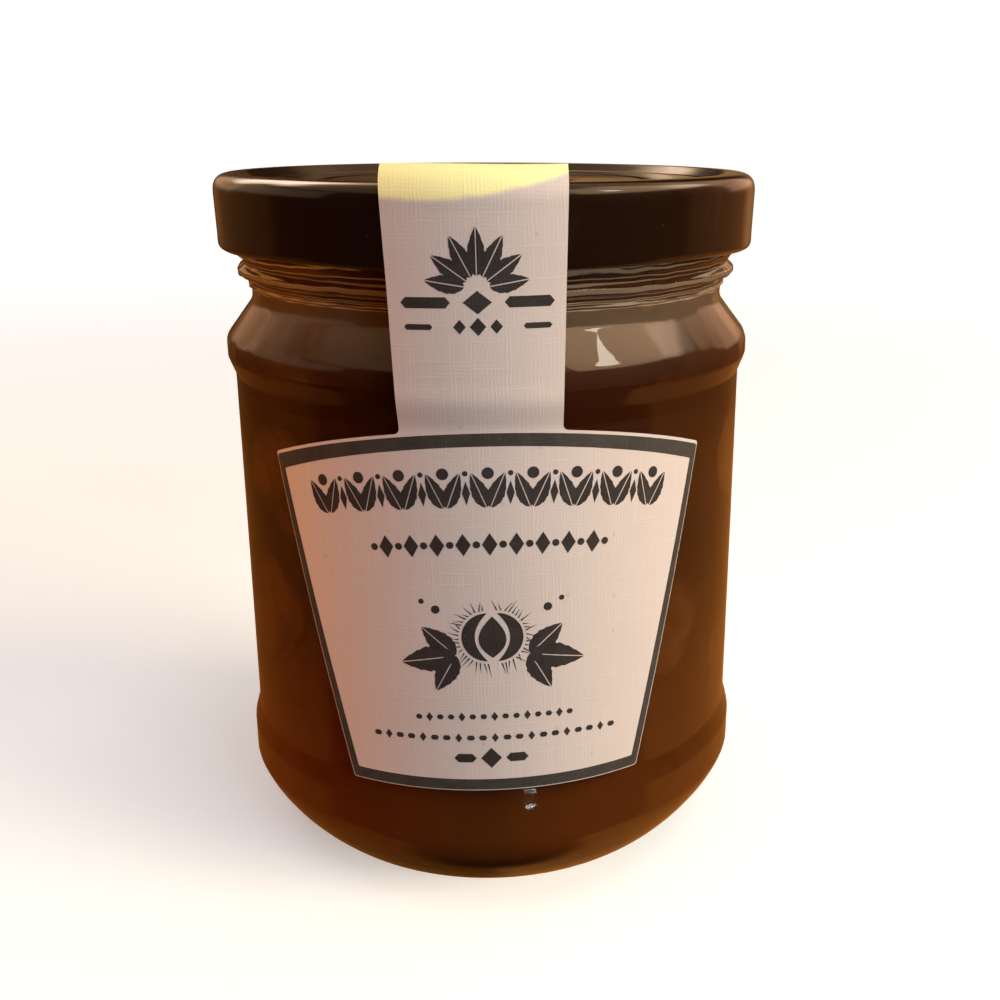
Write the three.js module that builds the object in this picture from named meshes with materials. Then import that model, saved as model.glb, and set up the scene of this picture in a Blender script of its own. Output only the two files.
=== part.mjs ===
// A small glass jar of brandied chestnuts: a round jar with a sunken label panel, closed by a lacquered
// twist-off lid, filled with dark syrup to just under the lid, and sealed by one die-cut paper label
// whose strip runs up the front, over the lid's rim and onto its top.
// Millimetres, +Z up. The origin is the centre of the jar's foot; the label faces -Y.
import * as THREE from "three";

// ---------- driving dimensions ----------
const SEGMENTS = 60; // round the jar, the lid and the filling
const CHORD = 1.3; // about the longest straight piece of a fillet
const FILLET_CHORDS = 3; // the most that one fillet gets
const FIT_GAP = 0.3; // between pieces that lie against each other
const PAPER_GAP = 0.15; // between the label's back and what carries it

// jar, outside
const FOOT_RADIUS = 24.5;
const FOOT_RING_WIDTH = 2.0;
const PUSH_UP = 2.2; // how far the middle of the base is raised
const HEEL_RADIUS = 32.87;
const HEEL_LOW = 10.4; // the heel stands upright between these two heights
const HEEL_TOP = 14.4;
const HEEL_LEAN_OUT = 1.64; // 1 and 1 make its lower corner a quarter ellipse, and more makes it leaner
const HEEL_LEAN_UP = 1.5;
const PANEL_RADIUS = 32.13; // the sunken band that carries the label
const PANEL_LOW = 16.9;
const PANEL_HIGH = 61.8;
const SHOULDER_RADIUS = 32.95;
const SHOULDER_LOW = 63.9;
const SHOULDER_TOP = 66.1;
const NECK_RADIUS = 29.5;
const NECK_LOW = 70.6;
const NECK_TOP = 72.4;
const BEAD_RADIUS = 31.05; // the transfer bead under the lid
const BEAD_LOW = 73.9;
const BEAD_TOP = 75.0;
const FINISH_RADIUS = 30.3; // the plain glass that goes up into the lid
const LIP_HEIGHT = 83.8;

// jar, inside
const WALL = 2.3;
const BASE_THICKNESS = 3.4;
const MOUTH_RADIUS = 27.4;
const MOUTH_LOW = 72; // below it the bore widens into the shoulder
const FILL_LEVEL = 80.4;

// lid
const LID_TOP = 85.6;
const LID_BOTTOM = 76.7;
const SKIRT_TOP_RADIUS = 33.4;
const SKIRT_BOTTOM_RADIUS = 33.1;
const SKIRT_EDGE = 2.9; // size of the round edge between skirt and rim
const RIM_RADIUS = 29.9; // the inner edge of the raised rim
const LID_PANEL = 84.6; // height of the sunken top
const LID_PANEL_RADIUS = 28.6;
const BUTTON_RADIUS = 10.5;
const BUTTON_RISE = 0.4;
const SHEET_METAL = 0.5;
const CURL = 1.7; // height of the rolled edge at the bottom of the skirt

// label: one flat die-cut sheet, wrapped round the jar; half widths are measured on the flat sheet
const PAPER = 0.3;
const LABEL_LOW = 17.1;
const LABEL_LOW_HALF = 17.7;
const LABEL_CORNER = 55.7; // height of its upper corners
const LABEL_CORNER_HALF = 27.4;
const LABEL_ARCH = 4.5; // how far its upper edge arches above those corners
const LABEL_OFFSET = 1.6; // it was stuck on a little to the right of the front
const LABEL_TILT = THREE.MathUtils.degToRad(0.8); // and turned a little
const LABEL_MIDDLE = 37; // the height about which it is turned
const STRIP_OFFSET = -0.6; // from the label's own middle
const STRIP_LOW_HALF = 8.9;
const STRIP_TOP_HALF = 9.7;
const STRIP_CREST = 87.3; // the paper's back where it arches over the rim
const STRIP_END = 11.5; // how far from the lid's middle the strip ends

// ---------- helpers ----------

// A profile in the (radius, height) plane from corners [radius, height, fillet radius].
function filleted(corners) {
  const points = [];
  corners.forEach(([r, z, fillet = 0], i) => {
    const here = new THREE.Vector2(r, z);
    if (!fillet || i === 0 || i === corners.length - 1) {
      points.push(here);
      return;
    }
    const before = new THREE.Vector2(...corners[i - 1].slice(0, 2)).sub(here).normalize();
    const after = new THREE.Vector2(...corners[i + 1].slice(0, 2)).sub(here).normalize();
    const half = Math.acos(THREE.MathUtils.clamp(before.dot(after), -1, 1)) / 2;
    const reach = fillet / Math.tan(half);
    const start = here.clone().addScaledVector(before, reach);
    const end = here.clone().addScaledVector(after, reach);
    // A quadratic curve between the tangent points is close to the arc.
    const chords = Math.min(FILLET_CHORDS, Math.floor(reach / CHORD) + 1);
    points.push(...new THREE.QuadraticBezierCurve(start, here, end).getPoints(chords));
  });
  return points;
}

// A solid turned about +Z from a profile that starts and ends on the axis, drawn anticlockwise.
function turned(profile) {
  const clean = profile.filter((p, i) => i === 0 || p.distanceTo(profile[i - 1]) > 1e-3);
  return new THREE.LatheGeometry(clean, SEGMENTS).rotateX(Math.PI / 2);
}

// The heel's lower corner, from the foot to where the heel stands upright.
function heelCurve(steps) {
  return Array.from({ length: steps }, (_, i) => {
    const turn = (i / steps) * (Math.PI / 2);
    const out = Math.sin(turn) ** HEEL_LEAN_OUT;
    const up = 1 - Math.cos(turn) ** HEEL_LEAN_UP;
    return [FOOT_RADIUS + (HEEL_RADIUS - FOOT_RADIUS) * out, HEEL_LOW * up];
  });
}

// A closed thin solid from a sheet. cells are quads of vertex numbers, turned so that they face out;
// outer and inner give each vertex on the sheet's two faces.
function thickened(cells, outer, inner) {
  const count = outer.length;
  const edges = new Map();
  const triangles = [];
  for (const quad of cells) {
    const [a, b, c, d] = quad;
    triangles.push(a, b, c, a, c, d);
    triangles.push(a + count, c + count, b + count, a + count, d + count, c + count);
    quad.forEach((from, i) => {
      const to = quad[(i + 1) % 4];
      if (!edges.delete(`${to},${from}`)) edges.set(`${from},${to}`, [from, to]);
    });
  }
  for (const [from, to] of edges.values()) {
    triangles.push(from, from + count, to + count, from, to + count, to);
  }
  const geometry = new THREE.BufferGeometry().setFromPoints([...outer, ...inner]);
  geometry.setIndex(triangles);
  geometry.computeVertexNormals();
  return geometry;
}

// ---------- jar ----------

function jarOutside() {
  const ring = FOOT_RADIUS - FOOT_RING_WIDTH;
  return filleted([
    [0, PUSH_UP],
    [ring - 3, PUSH_UP - 0.5, 2],
    [ring, 0],
    ...heelCurve(6),
    [HEEL_RADIUS, HEEL_LOW],
    [HEEL_RADIUS, HEEL_TOP, 0.6],
    [PANEL_RADIUS, PANEL_LOW, 0.8],
    [PANEL_RADIUS, PANEL_HIGH, 0.8],
    [SHOULDER_RADIUS, SHOULDER_LOW, 1.2],
    [SHOULDER_RADIUS, SHOULDER_TOP, 2.2],
    [NECK_RADIUS, NECK_LOW, 1.8],
    [NECK_RADIUS, NECK_TOP],
    [NECK_RADIUS + 0.6, NECK_TOP + 0.6],
    [BEAD_RADIUS, BEAD_LOW, 0.5],
    [BEAD_RADIUS, BEAD_TOP, 0.5],
    [FINISH_RADIUS, BEAD_TOP + 0.6],
    [FINISH_RADIUS, LIP_HEIGHT, 0.9],
    [MOUTH_RADIUS + 1.5, LIP_HEIGHT],
  ]);
}

function jarInside(gap = 0) {
  const body = PANEL_RADIUS - WALL - gap;
  const shoulder = SHOULDER_RADIUS - WALL - gap;
  const floor = PUSH_UP + BASE_THICKNESS + gap;
  return filleted([
    [MOUTH_RADIUS - gap, MOUTH_LOW + 2],
    [MOUTH_RADIUS - gap, MOUTH_LOW, 2],
    [shoulder, SHOULDER_TOP, 2.2],
    [shoulder, SHOULDER_LOW],
    [body, PANEL_HIGH - 2, 2],
    [body, floor - 0.6, 6],
    [FOOT_RADIUS - 6, floor - 0.6, 3],
    [0, floor],
  ]);
}

function jarGeometry() {
  const mouthEdge = filleted([
    [FINISH_RADIUS, LIP_HEIGHT],
    [MOUTH_RADIUS, LIP_HEIGHT, 0.9],
    [MOUTH_RADIUS, LIP_HEIGHT - 3],
  ]);
  return turned([...jarOutside(), ...mouthEdge.slice(1, -1), ...jarInside()]);
}

// The syrup fills the jar to just under the lid, a small gap inside the glass.
function fillingGeometry() {
  const wall = jarInside(FIT_GAP);
  const level = new THREE.Vector2(MOUTH_RADIUS - FIT_GAP, FILL_LEVEL);
  return turned([new THREE.Vector2(0, FILL_LEVEL), level, ...wall].reverse());
}

// ---------- lid ----------

function lidGeometry() {
  const underPanel = LID_PANEL - SHEET_METAL;
  const skirtInside = SKIRT_TOP_RADIUS - SHEET_METAL;
  return turned(
    filleted([
      [0, LID_PANEL + BUTTON_RISE],
      [BUTTON_RADIUS - 1, LID_PANEL + BUTTON_RISE],
      [BUTTON_RADIUS + 1, LID_PANEL],
      [LID_PANEL_RADIUS, LID_PANEL, 0.4],
      [RIM_RADIUS, LID_TOP, 0.4],
      [SKIRT_TOP_RADIUS, LID_TOP, SKIRT_EDGE],
      [SKIRT_BOTTOM_RADIUS, LID_BOTTOM + CURL],
      [SKIRT_BOTTOM_RADIUS, LID_BOTTOM, 0.7],
      [SKIRT_BOTTOM_RADIUS - CURL, LID_BOTTOM, 0.7],
      [SKIRT_BOTTOM_RADIUS - CURL, LID_BOTTOM + CURL],
      [SKIRT_BOTTOM_RADIUS - SHEET_METAL, LID_BOTTOM + CURL + 0.4],
      [skirtInside, LID_TOP - SKIRT_EDGE],
      [skirtInside - 1.4, underPanel],
      [BUTTON_RADIUS + 1, underPanel],
      [BUTTON_RADIUS - 1, underPanel + BUTTON_RISE],
      [0, underPanel + BUTTON_RISE],
    ]).reverse(),
  );
}

// ---------- label ----------

// The way the paper's back takes up the front, seen from the side as (distance from the axis, height):
// up the glass, straight across the neck's hollow to the lid, and over the rim onto its sunken top.
const upright = (r, z) => new THREE.Vector3(r + PAPER_GAP, z, 0);
const lying = (r, z) => new THREE.Vector3(r, z + PAPER_GAP, 0);
const climb = new THREE.CatmullRomCurve3(
  [
    upright(PANEL_RADIUS, 0),
    upright(PANEL_RADIUS, PANEL_HIGH - 3),
    upright(PANEL_RADIUS, PANEL_HIGH - 1.5),
    upright(SHOULDER_RADIUS, SHOULDER_LOW - 0.7),
    upright(SHOULDER_RADIUS, SHOULDER_TOP - 0.6),
    upright(SKIRT_BOTTOM_RADIUS, LID_BOTTOM - 2),
    upright(SKIRT_BOTTOM_RADIUS + 0.1, LID_BOTTOM + 1),
    upright(SKIRT_TOP_RADIUS, LID_TOP - SKIRT_EDGE),
    upright(SKIRT_TOP_RADIUS, LID_TOP - 0.9),
    lying(SKIRT_TOP_RADIUS - 0.8, STRIP_CREST - 0.8),
    lying(SKIRT_TOP_RADIUS - 2.3, STRIP_CREST - 0.1),
    lying(RIM_RADIUS - 0.6, STRIP_CREST - 1),
    lying(LID_PANEL_RADIUS - 1.4, LID_PANEL + 0.7),
    lying(LID_PANEL_RADIUS - 3.2, LID_PANEL),
    lying(LID_PANEL_RADIUS - 6, LID_PANEL),
    lying(STRIP_END, LID_PANEL),
  ],
  false,
  "centripetal",
);
const WRAPPED_TO = RIM_RADIUS + 1; // outside this radius the paper bends round the jar
const FLAT_FROM = LID_PANEL_RADIUS - 4; // inside this one it lies flat

// Where a point of the flat sheet comes to lie: across and up are its place on the paper,
// and lift is its distance from the paper's back.
function onJar(across, up, lift) {
  const rise = up - LABEL_MIDDLE;
  const side = LABEL_OFFSET + across * Math.cos(LABEL_TILT) - rise * Math.sin(LABEL_TILT);
  const way = LABEL_MIDDLE + across * Math.sin(LABEL_TILT) + rise * Math.cos(LABEL_TILT);
  const share = Math.min(1, way / climb.getLength());
  const back = climb.getPointAt(share);
  const tangent = climb.getTangentAt(share);
  const r = back.x + tangent.y * lift;
  const wrap = THREE.MathUtils.smoothstep(back.x, FLAT_FROM, WRAPPED_TO);
  const turn = side / back.x;
  return new THREE.Vector3(
    THREE.MathUtils.lerp(side, r * Math.sin(turn), wrap),
    -r + wrap * r * (1 - Math.cos(turn)),
    back.y - tangent.x * lift,
  );
}

function labelGeometry() {
  const sideColumns = 5;
  const stripColumns = 6;
  const panelRows = 8;
  const stripRows = 40;
  const outer = [];
  const inner = [];
  const cells = [];
  const put = (across, up) => {
    outer.push(onJar(across, up, PAPER));
    inner.push(onJar(across, up, 0));
    return outer.length - 1;
  };
  const join = (below, above) => {
    for (let i = 0; i + 1 < below.length; i++) {
      cells.push([below[i], below[i + 1], above[i + 1], above[i]]);
    }
  };

  // Places across the label as shares of its half width, with the strip's two edges among them.
  const spread = (from, to, n) => Array.from({ length: n }, (_, i) => from + ((to - from) * i) / n);
  const stripLeft = (STRIP_OFFSET - STRIP_LOW_HALF) / LABEL_CORNER_HALF;
  const stripRight = (STRIP_OFFSET + STRIP_LOW_HALF) / LABEL_CORNER_HALF;
  const shares = [
    ...spread(-1, stripLeft, sideColumns),
    ...spread(stripLeft, stripRight, stripColumns),
    ...spread(stripRight, 1, sideColumns),
    1,
  ];

  let below = null;
  for (let row = 0; row <= panelRows; row++) {
    const climbed = row / panelRows;
    const halfWidth = THREE.MathUtils.lerp(LABEL_LOW_HALF, LABEL_CORNER_HALF, climbed);
    const made = shares.map((share) => {
      const top = LABEL_CORNER + LABEL_ARCH * (1 - share * share);
      return put(share * halfWidth, THREE.MathUtils.lerp(LABEL_LOW, top, climbed));
    });
    if (below) join(below, made);
    below = made;
  }

  const stripStart = LABEL_CORNER + LABEL_ARCH;
  const stripLength = climb.getLength() - stripStart;
  below = below.slice(sideColumns, sideColumns + stripColumns + 1);
  for (let row = 1; row <= stripRows; row++) {
    const up = stripStart + (stripLength * row) / stripRows;
    const widened = Math.min(1, (up - stripStart) / (LID_TOP - stripStart));
    const half = THREE.MathUtils.lerp(STRIP_LOW_HALF, STRIP_TOP_HALF, widened);
    const made = Array.from({ length: stripColumns + 1 }, (_, i) =>
      put(STRIP_OFFSET + half * ((2 * i) / stripColumns - 1), up),
    );
    join(below, made);
    below = made;
  }
  return thickened(cells, outer, inner);
}

// ---------- materials and assembly ----------

const materials = {
  glass: new THREE.MeshStandardMaterial({
    color: 0xdfe6e2, roughness: 0.05, metalness: 0, transparent: true, opacity: 0.3,
  }),
  syrup: new THREE.MeshStandardMaterial({ color: 0x3a1505, roughness: 0.25, metalness: 0 }),
  lacquer: new THREE.MeshStandardMaterial({ color: 0x20150f, roughness: 0.25, metalness: 0.6 }),
  paper: new THREE.MeshStandardMaterial({ color: 0xd8c6c2, roughness: 0.8, metalness: 0 }),
};

function piece(name, geometry, material) {
  const mesh = new THREE.Mesh(geometry, material);
  mesh.name = name;
  return mesh;
}

const jarOfChestnuts = new THREE.Group();
jarOfChestnuts.add(
  piece("jar", jarGeometry(), materials.glass),
  piece("filling", fillingGeometry(), materials.syrup),
  piece("lid", lidGeometry(), materials.lacquer),
  piece("label", labelGeometry(), materials.paper),
);

export default jarOfChestnuts;
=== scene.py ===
"""A sealed jar of brandied chestnuts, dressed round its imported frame.

The pieces are the pressed glass, the dark syrup with the chestnuts sunk in it, the lacquered twist-off
lid, the die-cut linen-paper label that runs up over the lid, and the label's print. Metres, +Z up. The
jar stands on z = 0 and its label faces -Y. Laid out as an add-on and run as a script.
"""
import math

import bmesh
import bpy
import numpy as np
from bpy.props import FloatProperty, FloatVectorProperty, IntProperty, PointerProperty
from bpy.types import Operator, Panel, PropertyGroup
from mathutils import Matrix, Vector


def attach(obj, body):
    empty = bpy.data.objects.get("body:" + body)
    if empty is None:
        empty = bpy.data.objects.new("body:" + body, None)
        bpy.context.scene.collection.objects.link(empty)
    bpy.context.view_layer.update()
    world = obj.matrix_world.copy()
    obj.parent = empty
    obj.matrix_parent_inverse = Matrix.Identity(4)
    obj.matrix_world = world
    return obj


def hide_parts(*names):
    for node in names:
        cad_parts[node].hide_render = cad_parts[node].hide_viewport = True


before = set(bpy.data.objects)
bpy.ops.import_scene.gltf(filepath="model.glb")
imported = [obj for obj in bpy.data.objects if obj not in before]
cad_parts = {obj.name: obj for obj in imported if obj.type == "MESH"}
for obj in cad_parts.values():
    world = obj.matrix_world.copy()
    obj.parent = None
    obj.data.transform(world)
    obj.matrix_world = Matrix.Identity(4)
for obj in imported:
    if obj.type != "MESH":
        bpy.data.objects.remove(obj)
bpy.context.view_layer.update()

bl_info = {
    "name": "Jar of Brandied Chestnuts",
    "version": (1, 0, 0),
    "blender": (4, 5, 0),
    "location": "View3D > Sidebar > Jar",
    "description": "Dresses the framed jar: glass, syrup, chestnuts, lid, label, print and studio",
    "category": "Object",
}

MM = 0.001
FULL_TURN = 2 * math.pi

# ---------- the jar's sizes, as in its frame ----------
FOOT_RADIUS = 24.5 * MM
FOOT_RING_WIDTH = 2.0 * MM
PUSH_UP = 2.2 * MM
HEEL_RADIUS = 32.87 * MM
HEEL_LOW = 10.4 * MM
HEEL_TOP = 14.4 * MM
HEEL_LEAN_OUT = 1.64
HEEL_LEAN_UP = 1.5
PANEL_RADIUS = 32.13 * MM
PANEL_LOW = 16.9 * MM
PANEL_HIGH = 61.8 * MM
SHOULDER_RADIUS = 32.95 * MM
SHOULDER_LOW = 63.9 * MM
SHOULDER_TOP = 66.1 * MM
NECK_RADIUS = 29.5 * MM
NECK_LOW = 70.6 * MM
NECK_TOP = 72.4 * MM
LEDGE_RADIUS = 29.85 * MM  # the mould's parting line under the bead
LEDGE_LOW = 72.4 * MM
LEDGE_TOP = 72.8 * MM
GROOVE_TOP = 73.4 * MM
BEAD_RADIUS = 31.05 * MM
BEAD_LOW = 73.8 * MM
BEAD_TOP = 74.5 * MM
FINISH_RADIUS = 30.3 * MM
LIP_HEIGHT = 83.8 * MM
BASE_THICKNESS = 3.4 * MM
MOUTH_RADIUS = 27.4 * MM
MOUTH_LOW = 72 * MM

# ---------- the lid's sizes ----------
LID_TOP = 85.6 * MM
LID_BOTTOM = 76.9 * MM
SKIRT_TOP_RADIUS = 33.33 * MM
SKIRT_BOTTOM_RADIUS = 33.08 * MM
SKIRT_EDGE = 2.1 * MM
RIM_RADIUS = 29.9 * MM
LID_PANEL = 84.6 * MM
LID_PANEL_RADIUS = 28.6 * MM
GROOVE_RADIUS = 20 * MM  # a pressed ring in the sunken top
BUTTON_RADIUS = 10.5 * MM
BUTTON_RISE = 0.4 * MM
CURL = 1.7 * MM
LUG_TURN = 0.5  # where the first lug's dimple lies, as a phase
LUG_SHARPNESS = 24
SKIRT_RIPPLE = 0.03 * MM
SKIRT_WAVES = {"seed": 21, "slowest": 2, "fastest": 7}
EDGE_RIPPLE = 0.05 * MM
EDGE_WAVES = {"seed": 22, "slowest": 3, "fastest": 11}
LID_CELL = 0.9 * MM
EDGE_BAND = 1.2 * MM  # height of the rolled edge that the dimples and waves are in

# ---------- the label's sizes, on the flat sheet ----------
PAPER_GAP = 0.15 * MM  # between the way that the paper climbs and what carries it
LABEL_LOW = 17.1 * MM
LABEL_LOW_HALF = 17.7 * MM
LABEL_CORNER = 55.7 * MM
LABEL_CORNER_HALF = 27.4 * MM
LABEL_ARCH = 4.5 * MM
LABEL_OFFSET = 1.6 * MM
LABEL_TILT = math.radians(0.8)
LABEL_MIDDLE = 37 * MM
STRIP_OFFSET = -0.6 * MM
STRIP_LOW_HALF = 8.9 * MM
STRIP_TOP_HALF = 9.7 * MM
STRIP_CREST = 87.3 * MM
STRIP_END = 11.5 * MM
SHEET_UNIT = 100 * MM  # one unit of the sheet's UV map


# ---------- settings ----------

def length(name, description, default):
    return FloatProperty(name=name, description=description, default=default, unit="LENGTH", precision=5)


def count(name, description, default, least):
    return IntProperty(name=name, description=description, default=default, min=least)


def power(name, description, default):
    return FloatProperty(name=name, description=description, default=default, unit="POWER")


def colour(name, description, default):
    return FloatVectorProperty(
        name=name, description=description, default=default, size=3, min=0, max=1, subtype="COLOR"
    )


class GlassSettings(PropertyGroup):
    wall: length("Wall", "Thickness of the glass", 2.3 * MM)
    columns: count("Columns", "Faces round the jar", 300, 48)
    ripple: length("Ripple", "Unevenness of the body's surface", 0.035 * MM)
    pebble: length("Pebbling", "Finer unevenness, mostly on the shoulder", 0.018 * MM)
    neck_ripple: length("Neck Ripple", "Unevenness of the rings under the lid", 0.05 * MM)
    seam: length("Mould Seam", "Height of the two upright seams", 0.06 * MM)
    thread: length("Thread", "How far the thread stands out from the finish", 0.65 * MM)
    knurl: length("Knurling", "Depth of the knurling under the foot", 0.15 * MM)
    tint: colour("Tint", "Colour of the glass", (0.95, 0.97, 0.94))


class FillingSettings(PropertyGroup):
    level: length("Level", "Height of the syrup", 80.4 * MM)
    wetting: length("Wetting", "How far the syrup reaches into the wall", 0.15 * MM)
    columns: count("Columns", "Faces round the syrup", 160, 24)
    dark: colour("Dark Syrup", "Colour of the clear syrup higher up", (0.016, 0.0026, 0.0002))
    light: colour("Lightened Syrup", "Colour of the paler syrup lower down", (0.078, 0.019, 0.0026))
    # Painted light: the syrup up the shoulder and in the neck is painted lighter, for the light seen there
    # through the glass.
    painted_neck_light: colour("Froth", "Colour of the syrup in the neck", (0.08, 0.048, 0.033))
    # Painted highlights: the bright lines on the glass rings, painted as rings on the syrup behind them.
    painted_ring_light: colour("Foam", "Colour of the fine rings of foam in the neck", (0.30, 0.22, 0.17))
    nut: colour("Chestnut", "Colour of the steeped nuts", (0.105, 0.033, 0.0075))
    nut_radius: length("Nut Size", "Middle radius of a chestnut", 11.5 * MM)
    around: count("Nuts Around", "Nuts in one round of the jar", 6, 3)
    seed: count("Seed", "Draw of the nuts' shapes and places", 11, 0)


class LidSettings(PropertyGroup):
    columns: count("Columns", "Faces round the lid", 320, 48)
    metal: length("Sheet Metal", "Thickness of the pressed sheet", 0.3 * MM)
    lugs: count("Lugs", "Lugs pressed in the rolled edge", 6, 0)
    lug_dip: length("Lug Dip", "Depth of the dimple over each lug", 0.1 * MM)
    lacquer: colour("Lacquer", "Colour of the lacquer", (0.012, 0.0046, 0.0023))
    worn: colour("Worn Lacquer", "Colour where the lacquer is rubbed", (0.022, 0.012, 0.007))


class LabelSettings(PropertyGroup):
    front: length("Front", "Height of the paper's front over its path", 0.1 * MM)
    back: length("Back", "Height of the paper's back over its path", -0.08 * MM)
    cell: length("Cell", "Size of the faces that the paper is cut into", 0.45 * MM)
    ripple: length("Ripple", "Unevenness of the paper where it hangs free", 0.06 * MM)
    crease: length("Crease", "Depth of the crease at the rim", 0.16 * MM)
    paper: colour("Paper", "Colour of the paper", (0.67, 0.54, 0.52))
    # Painted light: the strip's top, where it turns over the lid, is painted pale yellow for the warm
    # light that falls on it from above.
    field: colour("Top Field", "Colour of the pale field at the top of the strip", (0.97, 0.85, 0.42))
    thread_pitch: length("Linen Pitch", "Distance between the embossed threads", 0.42 * MM)


class PrintSettings(PropertyGroup):
    thickness: length("Ink Thickness", "How far the ink stands over the paper", 0.02 * MM)
    cell: length("Cell", "Size of the faces that the ink is cut into", 1.0 * MM)
    ink: colour("Ink", "Colour of the print", (0.034, 0.026, 0.025))
    band: colour("Band", "Colour of the frame round the label", (0.046, 0.038, 0.034))


class StageSettings(PropertyGroup):
    focal: FloatProperty(name="Focal Length", description="Of the camera", default=44.55, unit="CAMERA")
    key: power("Key Light", "Strength from the right", 6.2)
    front: power("Front Light", "Strength from the front", 2.7)
    warm: power("Warm Light", "Strength from the left", 3.35)
    overhead: power("Overhead Light", "Strength from above", 1.8)
    window: power("Window", "Strength of the shoulder's glare", 0.15)
    glint: power("Glint", "Strength of the heel's glint", 0.02)
    fill: FloatProperty(name="Fill", description="Strength of the room's even light", default=0.1, min=0)
    floor: colour("Floor", "Colour of the floor", (0.85, 0.86, 0.91))


# ---------- turned shapes ----------

def unit(vector):
    return vector / np.linalg.norm(vector)


def filleted(corners, steps=8):
    """The points of a flat line through corners (x, y) or (x, y, fillet radius)."""
    points = [corners[0][:2]]
    for before, corner, after in zip(corners, corners[1:], corners[2:]):
        here = np.array(corner[:2])
        if len(corner) < 3:
            points.append(here)
            continue
        back = unit(np.array(before[:2]) - here)
        ahead = unit(np.array(after[:2]) - here)
        half = math.acos(np.clip(back @ ahead, -1, 1)) / 2
        reach = corner[2] / math.tan(half)
        for t in np.linspace(0, 1, steps + 1):
            curve = here + (1 - t) ** 2 * reach * back + t**2 * reach * ahead
            points.append(curve)
    points.append(corners[-1][:2])
    return np.array(points)


def subdivided(points, longest):
    """The same line with extra points, so that none of its stretches is longer than the longest."""
    parts = []
    for start, end in zip(points, points[1:]):
        gap = np.linalg.norm(end - start)
        if gap < 1e-7:
            continue
        steps = math.ceil(gap / longest)
        parts.append(start + (end - start) * np.linspace(0, 1, steps, endpoint=False)[:, None])
    return np.concatenate(parts + [points[-1:]])


def smoothstep(value, low, high):
    t = np.clip((value - low) / (high - low), 0, 1)
    return t * t * (3 - 2 * t)


def window(value, low, high, soft):
    """1 between low and high, falling to 0 over the soft width outside them."""
    return smoothstep(value, low - soft, low) * (1 - smoothstep(value, high, high + soft))


def wobble(angle, height, seed, slowest, fastest, rise=0.0, waves=6):
    """A smooth seeded unevenness round the jar and up it, mostly within -1 and 1: a sum of waves that turn
    between slowest and fastest times in one round, and by up to rise radians in a millimetre of height."""
    draw = np.random.default_rng(seed)
    total = 0
    for _ in range(waves):
        around = draw.integers(slowest, fastest + 1)
        up = draw.uniform(-rise, rise) / MM
        total = total + np.sin(around * angle + up * height + draw.uniform(0, FULL_TURN))
    return total / math.sqrt(waves)


def rings(profile, angles):
    """The angle, radius and height of every point of a turned shape, without its two poles."""
    angle, radius = np.meshgrid(angles, profile[1:-1, 0])
    height = np.repeat(profile[1:-1, 1:], len(angles), axis=1)
    return angle, radius, height


def ring_faces(rows, columns):
    """The faces between rings of points, with a fan at either pole. The poles are the last two points."""
    start, end = rows * columns, rows * columns + 1
    column = np.arange(columns)
    after = (column + 1) % columns
    beside = list(zip(column.tolist(), after.tolist()))
    faces = [(start, b, a) for a, b in beside]
    for row in range(rows - 1):
        low, high = row * columns, (row + 1) * columns
        faces += np.stack([low + column, low + after, high + after, high + column], axis=-1).tolist()
    last = (rows - 1) * columns
    faces += [(last + a, last + b, end) for a, b in beside]
    return faces


def smooth_mesh(name, points, faces):
    mesh = bpy.data.meshes.new(name)
    mesh.from_pydata(points.tolist(), [], faces)
    mesh.shade_smooth()
    return mesh


def turned(name, profile, angle, radius, height):
    """A closed mesh from rings. Angle 0 is the front and grows towards +X; the profile gives the poles."""
    points = np.stack([radius * np.sin(angle), -radius * np.cos(angle), height], axis=-1)
    poles = [[0, 0, profile[0, 1]], [0, 0, profile[-1, 1]]]
    return smooth_mesh(name, np.concatenate([points.reshape(-1, 3), poles]), ring_faces(*angle.shape))


def put(name, mesh, material, replaced=None):
    """Places a piece in the scene, with its finish and its place in the frame."""
    piece = bpy.data.objects.new(name, mesh)
    bpy.context.scene.collection.objects.link(piece)
    mesh.materials.append(material)
    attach(piece, "root")
    if replaced:
        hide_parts(replaced)


# ---------- jar ----------

SEAMS = (-math.pi / 2, math.pi / 2)
SEAM_WIDTH = 0.16 * MM
SEAM_COLUMNS = (-2.6, -1.5, -0.7, 0, 0.7, 1.5, 2.6)  # places of the columns over a seam, in seam widths
THREAD_STARTS = 4
THREAD_PHASE = 0.2  # how far before the front the first start begins, as a share of the way to the next
THREAD_LEAD = 1.8 * MM  # rise in one full turn
THREAD_LOW = 75.9 * MM  # where each start's lower end begins
THREAD_WIDTH = 0.3 * MM
THREAD_OVERLAP = 1.15  # length of each start, as a share of the way to the next
THREAD_FULL = 0.1  # the turn (in radians) from a start's lower end to its full height
THREAD_RUN_IN = 0.12  # the turn over which it rises and falls
KNURLS = 80
FINE_CELL = 0.45 * MM
COARSE_CELL = 2.4 * MM
RIPPLE_LOW = 3 * MM  # the glass is smooth below this
PEBBLED_BODY = 0.35  # share of the shoulder's pebbling that the body has
RIPPLE_WAVES = {"seed": 3, "slowest": 3, "fastest": 14, "rise": 0.12}
PEBBLE_WAVES = {"seed": 4, "slowest": 24, "fastest": 70, "rise": 1.1, "waves": 9}
RIM_WAVES_OUT = {"seed": 5, "slowest": 18, "fastest": 60, "rise": 0.5}
RIM_WAVES_UP = {"seed": 8, "slowest": 12, "fastest": 48}


def heel_curve(steps):
    """The heel's lower corner, from the foot to where the heel stands upright."""
    turn = np.linspace(0, math.pi / 2, steps, endpoint=False)
    out = FOOT_RADIUS + (HEEL_RADIUS - FOOT_RADIUS) * np.sin(turn) ** HEEL_LEAN_OUT
    up = HEEL_LOW * (1 - np.cos(turn) ** HEEL_LEAN_UP)
    return list(zip(out, up))


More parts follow.
